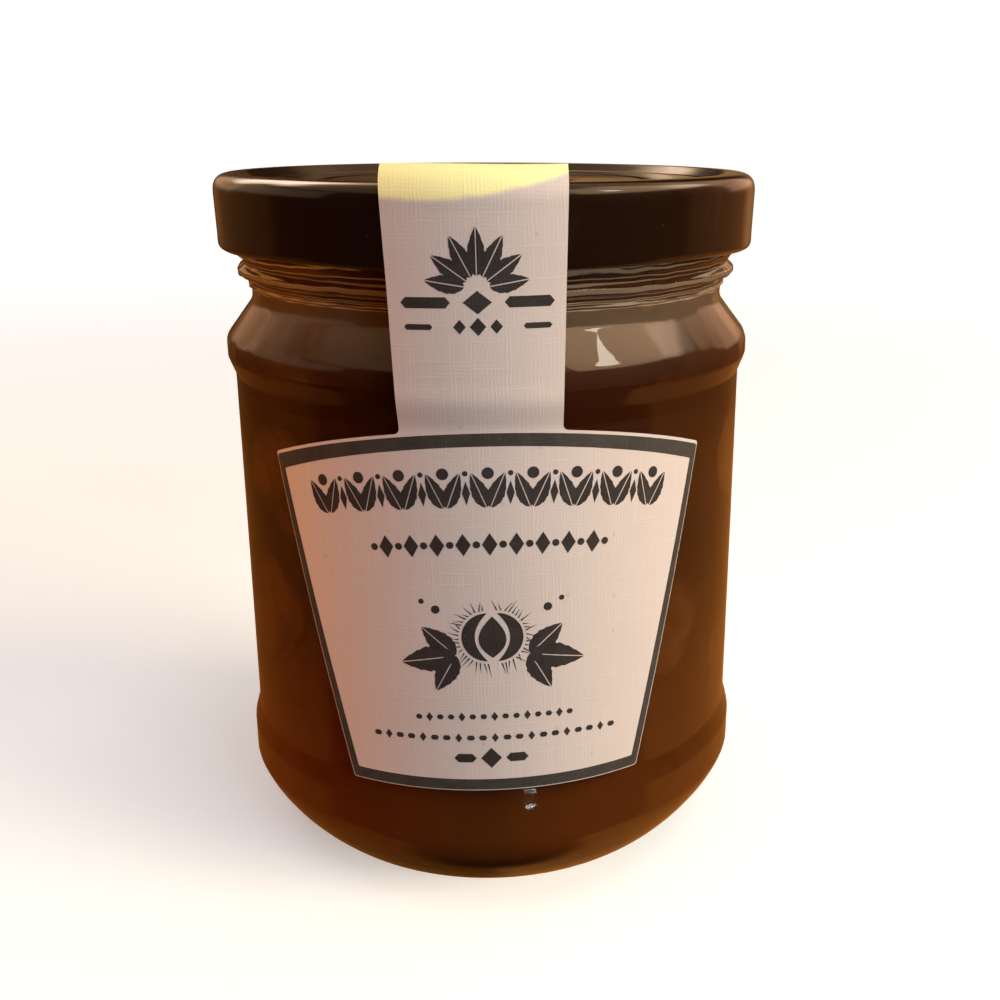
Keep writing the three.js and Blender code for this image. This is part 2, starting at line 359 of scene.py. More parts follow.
def jar_outside():
    ring = FOOT_RADIUS - FOOT_RING_WIDTH
    return filleted([
        (0, PUSH_UP),
        (ring - 3 * MM, PUSH_UP - 0.5 * MM, 2 * MM),
        (ring, 0, 0.5 * MM),
        *heel_curve(28),
        (HEEL_RADIUS, HEEL_LOW),
        (HEEL_RADIUS, HEEL_TOP, 0.6 * MM),
        (PANEL_RADIUS, PANEL_LOW, 0.8 * MM),
        (PANEL_RADIUS, PANEL_HIGH, 0.8 * MM),
        (SHOULDER_RADIUS, SHOULDER_LOW, 1.2 * MM),
        (SHOULDER_RADIUS, SHOULDER_TOP, 2.2 * MM),
        (NECK_RADIUS, NECK_LOW, 1.8 * MM),
        (NECK_RADIUS, LEDGE_LOW - 0.2 * MM, 0.12 * MM),
        (LEDGE_RADIUS, LEDGE_LOW, 0.1 * MM),
        (LEDGE_RADIUS, LEDGE_TOP, 0.1 * MM),
        (NECK_RADIUS, LEDGE_TOP + 0.2 * MM, 0.1 * MM),
        (NECK_RADIUS, GROOVE_TOP, 0.12 * MM),
        (BEAD_RADIUS, BEAD_LOW, 0.4 * MM),
        (BEAD_RADIUS, BEAD_TOP, 0.45 * MM),
        (FINISH_RADIUS, BEAD_TOP + 0.6 * MM, 0.3 * MM),
        (FINISH_RADIUS, LIP_HEIGHT, 0.9 * MM),
        (MOUTH_RADIUS + 1.5 * MM, LIP_HEIGHT),
    ], steps=5)


def jar_inside(wall, grown=0.0):
    """The hollow's profile from the mouth down to the axis, grown into the glass by a little if asked."""
    body = PANEL_RADIUS - wall + grown
    shoulder = SHOULDER_RADIUS - wall + grown
    floor = PUSH_UP + BASE_THICKNESS - grown
    return filleted([
        (MOUTH_RADIUS + grown, LIP_HEIGHT - 3 * MM),
        (MOUTH_RADIUS + grown, MOUTH_LOW, 2 * MM),
        (shoulder, SHOULDER_TOP, 2.2 * MM),
        (shoulder, SHOULDER_LOW, 1 * MM),
        (body, PANEL_HIGH - 2 * MM, 2 * MM),
        (body, floor - 0.6 * MM, 6 * MM),
        (FOOT_RADIUS - 6 * MM, floor - 0.6 * MM, 3 * MM),
        (0, floor),
    ])


def column_angles(columns):
    """Even steps round the jar, with closer ones at the two mould seams."""
    even = np.linspace(-math.pi, math.pi, columns, endpoint=False)
    beside = np.array(SEAM_COLUMNS) * SEAM_WIDTH / PANEL_RADIUS
    step = FULL_TURN / columns
    far = [a for a in even if min(abs(a - s) for s in SEAMS) > 0.6 * step]
    return np.sort(np.concatenate([far] + [s + beside for s in SEAMS]))


def thread(angle, height):
    """Where the raised thread lies on the finish: 1 on its ridge and 0 away from it."""
    each = FULL_TURN / THREAD_STARTS
    ridge = 0
    for start in range(THREAD_STARTS):
        turn = np.mod(angle - (start - THREAD_PHASE) * each, FULL_TURN)
        middle = THREAD_LOW + THREAD_LEAD * turn / FULL_TURN
        along = window(turn, THREAD_FULL, THREAD_OVERLAP * each, THREAD_RUN_IN)
        ridge = ridge + along * np.exp(-((height - middle) / THREAD_WIDTH) ** 2)
    return np.minimum(ridge, 1)


def glass_profile(wall):
    """The glass from its foot over the lip and down inside, and how many of its points are outside."""
    outside = jar_outside()
    detailed = (outside[:, 1] < PANEL_LOW) | (outside[:, 1] > PANEL_HIGH)
    low = np.flatnonzero(detailed & (outside[:, 1] < LABEL_MIDDLE))[-1] + 1
    high = np.flatnonzero(detailed & (outside[:, 1] > LABEL_MIDDLE))[0]
    outside = np.concatenate([
        subdivided(outside[:low], 2 * FINE_CELL)[:-1],
        subdivided(outside[low - 1 : high + 1], COARSE_CELL)[:-1],
        subdivided(outside[high:], FINE_CELL),
    ])
    lip = filleted([
        outside[-1],
        (MOUTH_RADIUS, LIP_HEIGHT, 0.9 * MM),
        (MOUTH_RADIUS, LIP_HEIGHT - 3 * MM),
    ])
    inside = subdivided(np.concatenate([lip[1:-1], jar_inside(wall)]), COARSE_CELL)
    return np.concatenate([outside, inside]), len(outside)


class JAR_OT_blow_glass(Operator):
    """Make the pressed glass jar with its rings, thread, seams and knurled foot"""

    bl_idname = "jar.blow_glass"
    bl_label = "Blow Glass"

    def execute(self, context):
        glass = context.scene.jar_glass
        profile, outside = glass_profile(glass.wall)
        angle, radius, height = rings(profile, column_angles(glass.columns))
        skin = (np.arange(len(profile)) < outside)[1:-1, None]

        body = window(height, RIPPLE_LOW, NECK_TOP, 2 * MM) * skin
        shoulder = window(height, SHOULDER_LOW, NECK_LOW, 1 * MM)
        pebbled = (PEBBLED_BODY + (1 - PEBBLED_BODY) * shoulder) * body
        rim = window(height, LEDGE_LOW - 0.4 * MM, THREAD_LOW + 2 * MM, 0.4 * MM) * skin
        seams = sum(np.exp(-(((angle - seam) * PANEL_RADIUS / SEAM_WIDTH) ** 2)) for seam in SEAMS)
        foot = window(radius, FOOT_RADIUS - FOOT_RING_WIDTH, FOOT_RADIUS, 0.8 * MM)
        foot = foot * (height < PUSH_UP) * skin
        radius = (
            radius
            + glass.ripple * wobble(angle, height, **RIPPLE_WAVES) * body
            + glass.pebble * wobble(angle, height, **PEBBLE_WAVES) * pebbled
            + glass.neck_ripple * wobble(angle, height, **RIM_WAVES_OUT) * rim
            + glass.seam * seams * window(height, 1 * MM, LIP_HEIGHT - 2 * MM, 1 * MM) * skin
            + glass.thread * thread(angle, height) * skin * (height > BEAD_TOP + 0.6 * MM)
        )
        height = (
            height
            + glass.neck_ripple * wobble(angle, height, **RIM_WAVES_UP) * rim
            + glass.knurl * foot * (0.5 - 0.5 * np.cos(KNURLS * angle))
        )
        mesh = turned("glass", profile, angle, radius, height)
        put("glass", mesh, glass_finish(glass), "jar")
        return {"FINISHED"}


# ---------- filling ----------

SYRUP_CELL = 2.5 * MM
MENISCUS_WIDTH = 2 * MM
MENISCUS_RISE = 0.5 * MM


class JAR_OT_pour_syrup(Operator):
    """Fill the jar with dark syrup that wets the glass"""

    bl_idname = "jar.pour_syrup"
    bl_label = "Pour Syrup"

    def execute(self, context):
        filling = context.scene.jar_filling
        wall = jar_inside(context.scene.jar_glass.wall, filling.wetting)[::-1]
        mouth = wall[-1][0]
        calm = filling.level - MENISCUS_RISE
        surface = filleted([
            (mouth, MOUTH_LOW + 3 * MM),
            (mouth, filling.level, 0.4 * MM),
            (mouth - MENISCUS_WIDTH, calm, 1 * MM),
            (0, calm),
        ])
        below = wall[wall[:, 1] < MOUTH_LOW + 2.5 * MM]
        profile = subdivided(np.concatenate([below, surface]), SYRUP_CELL)
        angle, radius, height = rings(profile, np.linspace(0, FULL_TURN, filling.columns, endpoint=False))
        mesh = turned("syrup", profile, angle, radius, height)
        put("syrup", mesh, syrup_finish(filling), "filling")
        return {"FINISHED"}


# Height of each round, and its first nut's azimuth in degrees.
NUT_ROUNDS = ((24 * MM, -56), (34 * MM, 47), (51 * MM, 5))
NUT_LOWEST = 9 * MM
NUT_PRESS = 1.1 * MM  # a nut shows fully where it would reach this far past the syrup's skin
NUT_SKIN = 0.04 * MM  # how far a pressed nut stands out of the syrup's skin
NUT_RINGS, NUT_COLUMNS = 26, 40
NUT_SIZES = (0.88, 1.12)  # least and greatest, as shares of the middle radius
NUT_OUT = (0.86, 0.97)  # how far the nut's middle lies inside the wall, as a share of its own size
NUT_STRAY = 0.25  # how far a nut may stray round the jar, as a share of the way to the next
NUT_RISE = 3 * MM  # how far it may stray up and down
NUT_WIDTH = 1.12  # the shape of a nut, as shares of its size
NUT_THICKNESS = (0.8, 0.95)
NUT_HEIGHT = (0.95, 1.1)
NUT_POINT = 0.12
NUT_SWELL_ROUND = 0.05
NUT_SWELL_ASKEW = 0.04
NUT_FURROW = 0.06
NUT_FURROW_WIDTH = 0.13  # radians round the nut


def chestnut(draw, radius):
    """The points of one shelled chestnut about its own middle: a flattened heart with furrows."""
    lat = np.linspace(-math.pi / 2, math.pi / 2, NUT_RINGS + 2)[1:-1, None]
    lon = np.linspace(0, FULL_TURN, NUT_COLUMNS, endpoint=False)[None]
    swell = 1 + NUT_SWELL_ROUND * np.sin(3 * lon + draw.uniform(0, 6)) * np.cos(lat)
    swell = swell + NUT_SWELL_ASKEW * np.sin(5 * lat + 2 * lon)
    third = np.mod(lon + 0.5 * lat + draw.uniform(0, 6), FULL_TURN / 3)
    furrow = NUT_FURROW * np.exp(-((third - 1) / NUT_FURROW_WIDTH) ** 2)
    reach = radius * (swell - furrow * np.cos(lat))
    point = NUT_POINT * radius * np.maximum(0, np.sin(lat)) ** 6
    x = reach * np.cos(lat) * np.cos(lon) * NUT_WIDTH
    y = reach * np.cos(lat) * np.sin(lon) * draw.uniform(*NUT_THICKNESS)
    z = reach * np.sin(lat) * draw.uniform(*NUT_HEIGHT) + point
    ends = np.array([[0, 0, -radius], [0, 0, radius * (1 + NUT_POINT)]])
    return np.concatenate([np.stack([x, y, z], axis=-1).reshape(-1, 3), ends])


def turn_matrix(draw):
    """A seeded turn about any axis."""
    axis = Vector(draw.normal(size=3)).normalized()
    half = draw.uniform(0, math.pi) / 2
    w, (x, y, z) = math.cos(half), axis * math.sin(half)
    return np.array([
        [1 - 2 * (y * y + z * z), 2 * (x * y - w * z), 2 * (x * z + w * y)],
        [2 * (x * y + w * z), 1 - 2 * (x * x + z * z), 2 * (y * z - w * x)],
        [2 * (x * z - w * y), 2 * (y * z + w * x), 1 - 2 * (x * x + y * y)],
    ])


class JAR_OT_sink_chestnuts(Operator):
    """Sink the chestnuts in the syrup, pressed against the glass where they show through it"""

    bl_idname = "jar.sink_chestnuts"
    bl_label = "Sink Chestnuts"

    def execute(self, context):
        filling = context.scene.jar_filling
        wall = jar_inside(context.scene.jar_glass.wall, filling.wetting)[::-1]
        draw = np.random.default_rng(filling.seed)
        one = ring_faces(NUT_RINGS, NUT_COLUMNS)
        points, faces, press, tones = [], [], [], []
        for level, first in NUT_ROUNDS:
            for place in range(filling.around):
                size = filling.nut_radius * draw.uniform(*NUT_SIZES)
                nut = chestnut(draw, size) @ turn_matrix(draw).T
                stray = draw.uniform(-NUT_STRAY, NUT_STRAY) if place else 0
                angle = math.radians(first) + (place + stray) * FULL_TURN / filling.around
                height = level + (draw.uniform(-NUT_RISE, NUT_RISE) if place else 0)
                out = np.interp(height, wall[:, 1], wall[:, 0]) - size * draw.uniform(*NUT_OUT)
                nut += [out * math.sin(angle), -out * math.cos(angle), height]
                reach = np.hypot(nut[:, 0], nut[:, 1])
                limit = np.interp(nut[:, 2], wall[:, 1], wall[:, 0]) + NUT_SKIN
                nut[:, :2] *= np.minimum(1, limit / reach)[:, None]
                nut[:, 2] = np.maximum(nut[:, 2], NUT_LOWEST)
                faces += [tuple(v + len(points) * len(nut) for v in face) for face in one]
                points.append(nut)
                press.append(smoothstep(reach - limit, 0, NUT_PRESS))
                tones.append(np.full(len(nut), draw.uniform(0, 1)))
        mesh = smooth_mesh("chestnuts", np.concatenate(points), faces)
        for name, values in (("press", press), ("tone", tones)):
            mesh.attributes.new(name, "FLOAT", "POINT").data.foreach_set("value", np.concatenate(values))
        put("chestnuts", mesh, chestnut_finish(filling))
        return {"FINISHED"}


# ---------- lid ----------

def lid_profile(metal):
    under = LID_PANEL - metal
    inner = SKIRT_TOP_RADIUS - metal
    hem = SKIRT_BOTTOM_RADIUS - CURL
    return filleted([
        (0, under + BUTTON_RISE),
        (BUTTON_RADIUS - 1 * MM, under + BUTTON_RISE, 0.6 * MM),
        (BUTTON_RADIUS + 1 * MM, under, 0.6 * MM),
        (LID_PANEL_RADIUS, under, 0.4 * MM),
        (RIM_RADIUS, LID_TOP - metal, 0.4 * MM),
        (inner, LID_TOP - metal, SKIRT_EDGE),
        (SKIRT_BOTTOM_RADIUS - metal, LID_BOTTOM + CURL, 0.3 * MM),
        (hem, LID_BOTTOM + CURL, 0.4 * MM),
        (hem, LID_BOTTOM, 0.8 * MM),
        (SKIRT_BOTTOM_RADIUS, LID_BOTTOM, 0.8 * MM),
        (SKIRT_BOTTOM_RADIUS, LID_BOTTOM + CURL, 0.3 * MM),
        (SKIRT_TOP_RADIUS, LID_TOP, SKIRT_EDGE),
        (RIM_RADIUS, LID_TOP, 0.4 * MM),
        (LID_PANEL_RADIUS, LID_PANEL, 0.5 * MM),
        (GROOVE_RADIUS + 0.9 * MM, LID_PANEL, 0.5 * MM),
        (GROOVE_RADIUS, LID_PANEL - 0.25 * MM, 0.5 * MM),
        (GROOVE_RADIUS - 0.9 * MM, LID_PANEL, 0.5 * MM),
        (BUTTON_RADIUS + 1 * MM, LID_PANEL, 0.8 * MM),
        (BUTTON_RADIUS - 1 * MM, LID_PANEL + BUTTON_RISE, 0.8 * MM),
        (0, LID_PANEL + BUTTON_RISE),
    ])


class JAR_OT_press_lid(Operator):
    """Press the twist-off lid with its raised rim, rolled edge and safety button"""

    bl_idname = "jar.press_lid"
    bl_label = "Press Lid"

    def execute(self, context):
        lid = context.scene.jar_lid
        profile = subdivided(lid_profile(lid.metal), LID_CELL)
        angle, radius, height = rings(profile, np.linspace(0, FULL_TURN, lid.columns, endpoint=False))
        lower = 1 - smoothstep(height, LID_BOTTOM, LID_TOP)
        skirt = (radius > SKIRT_BOTTOM_RADIUS - CURL - 0.2 * MM) * lower
        dimples = np.maximum(0, np.cos(lid.lugs * angle / 2 + LUG_TURN)) ** LUG_SHARPNESS
        lugs = dimples if lid.lugs else 0 * angle
        edge = window(height, LID_BOTTOM, LID_BOTTOM + EDGE_BAND, EDGE_BAND) * skirt
        out = SKIRT_RIPPLE * wobble(angle, 0, **SKIRT_WAVES)
        radius = radius + out * skirt - lid.lug_dip * lugs * edge
        height = height + EDGE_RIPPLE * wobble(angle, 0, **EDGE_WAVES) * edge
        mesh = turned("lid", profile, angle, radius, height)
        put("lid", mesh, lacquer_finish(lid), "lid")
        return {"FINISHED"}


# ---------- label ----------

CLIMB_STEPS = 48  # between two knots of the paper's path


def climb_path():
    """The way that the paper takes up the front, as (radius, height): up the glass, straight across the
    neck's hollow to the lid, and over the rim onto its sunken top. A centripetal Catmull-Rom curve."""
    def upright(radius, height):
        return radius + PAPER_GAP, height

    def lying(radius, height):
        return radius, height + PAPER_GAP

    knots = np.array([
        upright(PANEL_RADIUS, 0),
        upright(PANEL_RADIUS, PANEL_HIGH - 3 * MM),
        upright(PANEL_RADIUS, PANEL_HIGH - 1.5 * MM),
        upright(SHOULDER_RADIUS, SHOULDER_LOW - 0.7 * MM),
        upright(SHOULDER_RADIUS, SHOULDER_TOP - 0.6 * MM),
        upright(SKIRT_BOTTOM_RADIUS, 74.7 * MM),
        upright(SKIRT_BOTTOM_RADIUS + 0.1 * MM, 77.7 * MM),
        upright(SKIRT_TOP_RADIUS, 82.7 * MM),
        upright(SKIRT_TOP_RADIUS, LID_TOP - 0.9 * MM),
        lying(SKIRT_TOP_RADIUS - 0.8 * MM, STRIP_CREST - 0.8 * MM),
        lying(SKIRT_TOP_RADIUS - 2.3 * MM, STRIP_CREST - 0.1 * MM),
        lying(RIM_RADIUS - 0.6 * MM, STRIP_CREST - 1 * MM),
        lying(LID_PANEL_RADIUS - 1.4 * MM, LID_PANEL + 0.7 * MM),
        lying(LID_PANEL_RADIUS - 3.2 * MM, LID_PANEL),
        lying(LID_PANEL_RADIUS - 6 * MM, LID_PANEL),
        lying(STRIP_END, LID_PANEL),
    ])
    ends = np.vstack([2 * knots[0] - knots[1], knots, 2 * knots[-1] - knots[-2]])
    t = np.linspace(0, 1, CLIMB_STEPS, endpoint=False)[:, None]
    parts = []
    for a, b, c, d in zip(ends, ends[1:], ends[2:], ends[3:]):
        before, middle, after = (math.sqrt(np.linalg.norm(step)) for step in (b - a, c - b, d - c))
        leaving = ((b - a) / before - (c - a) / (before + middle)) * middle + c - b
        arriving = ((d - c) / after - (d - b) / (middle + after)) * middle + c - b
        parts.append(
            (2 * t**3 - 3 * t**2 + 1) * b
            + (t**3 - 2 * t**2 + t) * leaving
            + (3 * t**2 - 2 * t**3) * c
            + (t**3 - t**2) * arriving
        )
    return np.concatenate(parts + [knots[-1:]])


CLIMB = climb_path()
CLIMBED = np.concatenate([[0], np.cumsum(np.linalg.norm(np.diff(CLIMB, axis=0), axis=1))])
CLIMB_LENGTH = CLIMBED[-1]
WRAPPED_TO = RIM_RADIUS + 1 * MM
FLAT_FROM = LID_PANEL_RADIUS - 4 * MM
CREASE_START = 5.2 * MM  # the crease at the rim runs from here to the strip's right edge
CREASE_FOOT = 85.9 * MM
CREASE_SLOPE = 0.42
CREASE_WIDTH = 0.32 * MM
PAPER_WAVES = {"seed": 31, "slowest": 1, "fastest": 3, "rise": 0.35, "waves": 5}
WAVE_REACH = 9 * MM  # the width of paper that stands for one radian of these waves
WAVY_OVER_LID = 0.8  # shares of the free paper's waviness that the bonded paper has
WAVY_ON_GLASS = 0.12


def on_jar(across, up, lift):
    """Where points of the flat sheet come to lie; lift is their distance from the paper's path."""
    rise = up - LABEL_MIDDLE
    side = LABEL_OFFSET + across * math.cos(LABEL_TILT) - rise * math.sin(LABEL_TILT)
    way = LABEL_MIDDLE + across * math.sin(LABEL_TILT) + rise * math.cos(LABEL_TILT)
    way = np.minimum(way, CLIMB_LENGTH)
    step = 0.05 * MM
    back, back_height = (np.interp(way, CLIMBED, CLIMB[:, i]) for i in (0, 1))
    ahead = np.minimum(way + step, CLIMB_LENGTH)
    behind = ahead - 2 * step
    slope = np.stack([
        np.interp(ahead, CLIMBED, CLIMB[:, i]) - np.interp(behind, CLIMBED, CLIMB[:, i]) for i in (0, 1)
    ])
    slope /= np.linalg.norm(slope, axis=0)
    radius = back + slope[1] * lift
    wrap = smoothstep(back, FLAT_FROM, WRAPPED_TO)
    turn = side / back
    x = side + (radius * np.sin(turn) - side) * wrap
    y = -radius + wrap * radius * (1 - np.cos(turn))
    return np.stack([x, y, back_height - slope[0] * lift], axis=-1)


def settled(across, up, label):
    """How far the paper stands off its path: flat on the glass, a little wavy where it hangs free."""
    free = window(up, SHOULDER_TOP, LID_BOTTOM, 3 * MM)
    over = smoothstep(up, LID_TOP - 1 * MM, LID_TOP + 2 * MM)
    wave = wobble(across / WAVE_REACH, up, **PAPER_WAVES)
    fold = (up - CREASE_FOOT) - CREASE_SLOPE * (across - CREASE_START)
    crease = np.exp(-((fold / CREASE_WIDTH) ** 2)) * window(across, CREASE_START, STRIP_TOP_HALF, 0.8 * MM)
    loose = free + WAVY_OVER_LID * over + WAVY_ON_GLASS
    return label.ripple * wave * loose - label.crease * crease


def label_half(up):
    """Half the label's width at a height."""
    widening = LABEL_CORNER_HALF - LABEL_LOW_HALF
    return LABEL_LOW_HALF + widening * (up - LABEL_LOW) / (LABEL_CORNER - LABEL_LOW)


def panel_outline(side, below, above, corner=0.4 * MM, arch_points=60):
    """The label's panel, drawn in from its own edge by these margins, as an anticlockwise loop."""
    low = LABEL_LOW + below
    high = LABEL_CORNER - above
    low_half = label_half(low) - side
    high_half = label_half(high) - side
    shares = np.linspace(1, -1, arch_points)[1:-1]
    arch = [(high_half * s, high + LABEL_ARCH * (1 - s * s)) for s in shares]
    corners = [(-low_half, low, corner), (low_half, low, corner), (high_half, high, corner)]
    return [*corners, *arch, (-high_half, high, corner)]


def closed(corners, steps=4):
    """The rounded loop through these corners."""
    return filleted([corners[-1], *corners, corners[0]], steps)[1:-1]


def label_outlines():
    """The whole label as two loops that share the strip's foot: the arched panel and the strip."""
    join = 0.7 * MM  # size of the round corners where the strip leaves the panel
    left, right = STRIP_OFFSET - STRIP_LOW_HALF, STRIP_OFFSET + STRIP_LOW_HALF
    top_left, top_right = STRIP_OFFSET - STRIP_TOP_HALF, STRIP_OFFSET + STRIP_TOP_HALF
    top = CLIMB_LENGTH - 0.3 * MM

    def arch(across):
        return LABEL_CORNER + LABEL_ARCH * (1 - (across / LABEL_CORNER_HALF) ** 2)

    panel = closed(panel_outline(0, 0, 0, arch_points=40))
    foot = np.linspace(right + join, left - join, 13)
    on_foot = (panel[:, 0] > left - join) & (panel[:, 0] < right + join) & (panel[:, 1] > LABEL_MIDDLE)
    first = np.flatnonzero(on_foot)[0]
    panel = np.concatenate([
        panel[:first], np.stack([foot, arch(foot)], axis=-1), panel[first + on_foot.sum() :]
    ])
    turn = np.linspace(0, math.pi / 2, 6)[1:]
    corner = arch(right + join)
    right_fillet = [(right + join * (1 - math.sin(a)), corner + join * (1 - math.cos(a))) for a in turn]
    left_fillet = [(2 * STRIP_OFFSET - x, y + arch(left) - arch(right)) for x, y in right_fillet[::-1]]
    strip = [
        *zip(foot[::-1], arch(foot[::-1])),
        *right_fillet,
        (top_right, LID_TOP),
        (top_right, top),
        (top_left, top),
        (top_left, LID_TOP),
        *left_fillet,
    ]
    return [panel, np.array(strip)]


SLICE_SNAP = 1e-8  # a point this near to a cut lies on it
WELD = 2e-7  # points nearer than this are one
SHARP_EDGE = math.radians(50)


def cut_fine(loops, cell):
    """Flat loops cut along a square net, as points and faces, so that they can follow the jar's bend."""
    flat = bmesh.new()
    for loop in loops:
        flat.faces.new([flat.verts.new((x, y, 0)) for x, y in loop])
    every = np.concatenate([np.asarray(loop) for loop in loops])
    for axis in (0, 1):
        low, high = every[:, axis].min(), every[:, axis].max()
        for step in range(math.floor(low / cell) + 1, math.ceil(high / cell)):
            normal = Vector((axis == 0, axis == 1, 0))
            parts = flat.verts[:] + flat.edges[:] + flat.faces[:]
            place = normal * step * cell
            bmesh.ops.bisect_plane(flat, geom=parts, dist=SLICE_SNAP, plane_co=place, plane_no=normal)
    bmesh.ops.remove_doubles(flat, verts=flat.verts[:], dist=WELD)
    flat.verts.index_update()
    points = np.array([vert.co[:2] for vert in flat.verts])
    faces = [tuple(vert.index for vert in face.verts) for face in flat.faces]
    flat.free()
    return points, faces


def sheet_solid(name, points, faces, front, back):
    """A thin closed mesh on the jar from a flat cut sheet and the lifts of its two sides."""
    across, up = points.T
    count = len(points)
    edges = {(a, b) for face in faces for a, b in zip(face, face[1:] + face[:1])}
    rim = [(a, a + count, b + count, b) for a, b in sorted(edges) if (b, a) not in edges]
    behind = [tuple(v + count for v in face[::-1]) for face in faces]
    places = np.concatenate([on_jar(across, up, front), on_jar(across, up, back)])
    mesh = smooth_mesh(name, places, faces + behind + rim)
    corner = np.zeros(len(mesh.loops), dtype=np.int32)
    mesh.loops.foreach_get("vertex_index", corner)
    sheet = points[corner % count] / SHEET_UNIT + [0.5, 0]
    mesh.uv_layers.new(name="Sheet").data.foreach_set("uv", sheet.ravel())
    mesh.set_sharp_from_angle(angle=SHARP_EDGE)
    return mesh


class JAR_OT_wrap_label(Operator):
    """Cut the paper label and wrap it round the jar and up over the lid"""

    bl_idname = "jar.wrap_label"
    bl_label = "Wrap Label"

    def execute(self, context):
        label = context.scene.jar_label
        points, faces = cut_fine(label_outlines(), label.cell)
        lift = settled(points[:, 0], points[:, 1], label)
        mesh = sheet_solid("label", points, faces, lift + label.front, lift + label.back)
        put("label", mesh, paper_finish(label), "label")
        return {"FINISHED"}


# ---------- print ----------
# Every motif is a list of loops that turn anticlockwise on the flat sheet.

def moved(loops, across=0.0, up=0.0, turn=0.0):
    spin = np.array([[math.cos(turn), math.sin(turn)], [-math.sin(turn), math.cos(turn)]])
    return [np.asarray(loop) @ spin + [across, up] for loop in loops]


def disc(radius, points=20):
    turn = np.linspace(0, FULL_TURN, points, endpoint=False)
    return [radius * np.stack([np.cos(turn), np.sin(turn)], axis=-1)]


def lozenge(width, height):
    return [np.array([(width / 2, 0), (0, height / 2), (-width / 2, 0), (0, -height / 2)])]


def bar(long, height, taper):
    """A level bar whose ends taper to points."""
    end, shoulder = long / 2, long / 2 - taper
    below = [(-end, 0), (-shoulder, -height / 2), (shoulder, -height / 2)]
    return [np.array(below + [(-x, -y) for x, y in below])]


def leaf(long, wide, teeth=6, vein=0.12 * MM, tooth=0.16, full=0.75):
    """An upright saw-edged chestnut leaf from its stalk at the origin, in two halves beside its vein."""
    steps = np.linspace(0, 1, teeth * 4 + 1)
    belly = np.sin(math.pi * steps**full) ** 0.9
    saw = 1 + tooth * (1 - np.mod(steps * teeth, 1)) * (steps < 1)
    edge = wide / 2 * belly * saw + vein / 2
    right = [(x, y * long) for x, y in zip(edge, steps)]
    half = np.array([(vein / 2, 0), *right[1:-1], (vein / 2, long)])
    return [half, (half * [-1, 1])[::-1]]


def sprig(long, wide):
    """Three leaves from one point: a long one between two shorter ones."""
    droop = 0.9
    side = leaf(long * 0.78, wide * 0.85)
    return [*leaf(long, wide), *moved(side, turn=droop), *moved(side, turn=-droop)]


def burr(radius, spines=46):
    """A spiny husk split open on one nut: two crescents with spines round them, and the nut between."""
    draw = np.random.default_rng(7)
    body = radius * 0.62
    apart = radius * 0.12  # from the nut's middle to the middle of each crescent
    turn = np.linspace(-math.pi / 2, math.pi / 2, 22)
    split = np.linspace(1, -1, 16)[1:-1]
    crescent = [(apart + body * math.cos(a), body * math.sin(a)) for a in turn]
    crescent += [(apart + 0.3 * radius * (1 - s * s), body * s) for s in split]
    right = np.array(crescent)
    nut = [(0.33 * radius * (1 - t * t) * (1 - 0.2 * t), body * 0.86 * t) for t in np.linspace(-1, 1, 14)]
    loops = [right, (right * [-1, 1])[::-1]]
    loops.append(np.array(nut + [(-x, y) for x, y in nut[-2:0:-1]]))
    for spine in range(spines):
        angle = (spine + 0.5) * FULL_TURN / spines
        middle = math.copysign(apart, math.cos(angle))
        foot = body + 0.07 * radius
        tip = radius * draw.uniform(0.84, 1.06) - foot
        half = 0.4 * math.pi * foot / spines
        thorn = np.array([(half, 0), (draw.uniform(-0.14, 0.14) * radius, tip), (-half, 0)])
        place = (middle + foot * math.cos(angle), foot * math.sin(angle))
        loops += moved([thorn], *place, turn=angle - math.pi / 2)
    return loops


def frieze(half, middle, arch, pitch, motifs):
    """Motifs in turn along an arched line, upright to it, evenly spread to either side of the middle."""
    loops = []
    count = int(half / pitch)
    for i in range(-count, count + 1):
        across = i * pitch
        turn = math.atan(-2 * arch * across / half**2)
        loops += moved(motifs[i % len(motifs)], across, middle - arch * (across / half) ** 2, turn)
    return loops


def garland_print():
    """A garland bent like the label's upper edge: pairs of leaves that hold a fruit, and buds between."""
    blade = leaf(4.2 * MM, 1.55 * MM, teeth=5)
    pair = moved(blade, 0.2 * MM, -2.35 * MM, -0.4) + moved(blade, -0.2 * MM, -2.35 * MM, 0.4)
    pair += moved(disc(0.66 * MM, 20), 0, 1.5 * MM)
    bud = moved(lozenge(0.9 * MM, 2.7 * MM), 0, -0.7 * MM) + moved(disc(0.3 * MM, 12), 0, 1.5 * MM)
    return frieze(20.8 * MM, 54 * MM, 2.2 * MM, 2.42 * MM, [pair, bud])


def beads_print():
    """Lozenges and small round beads in turn along a shallow arch."""
    big = lozenge(1.7 * MM, 2.6 * MM)
    small = disc(0.42 * MM, 12)
    return frieze(13.2 * MM, 47.4 * MM, 0.8 * MM, 1.46 * MM, [big, small])


def husk_print():
    """An open husk between two leaf sprigs."""
    loops = moved(burr(4.7 * MM), 0, 36.4 * MM)
    for side in (-1, 1):
        branch = sprig(6.4 * MM, 2.7 * MM)
        loops += moved(branch, side * 4.2 * MM, 34.2 * MM, -side * 1.75)
        loops += moved(disc(0.5 * MM, 12), side * 6.3 * MM, 39.7 * MM)
        loops += moved(disc(0.32 * MM, 10), side * 7.9 * MM, 40.6 * MM)
    return loops


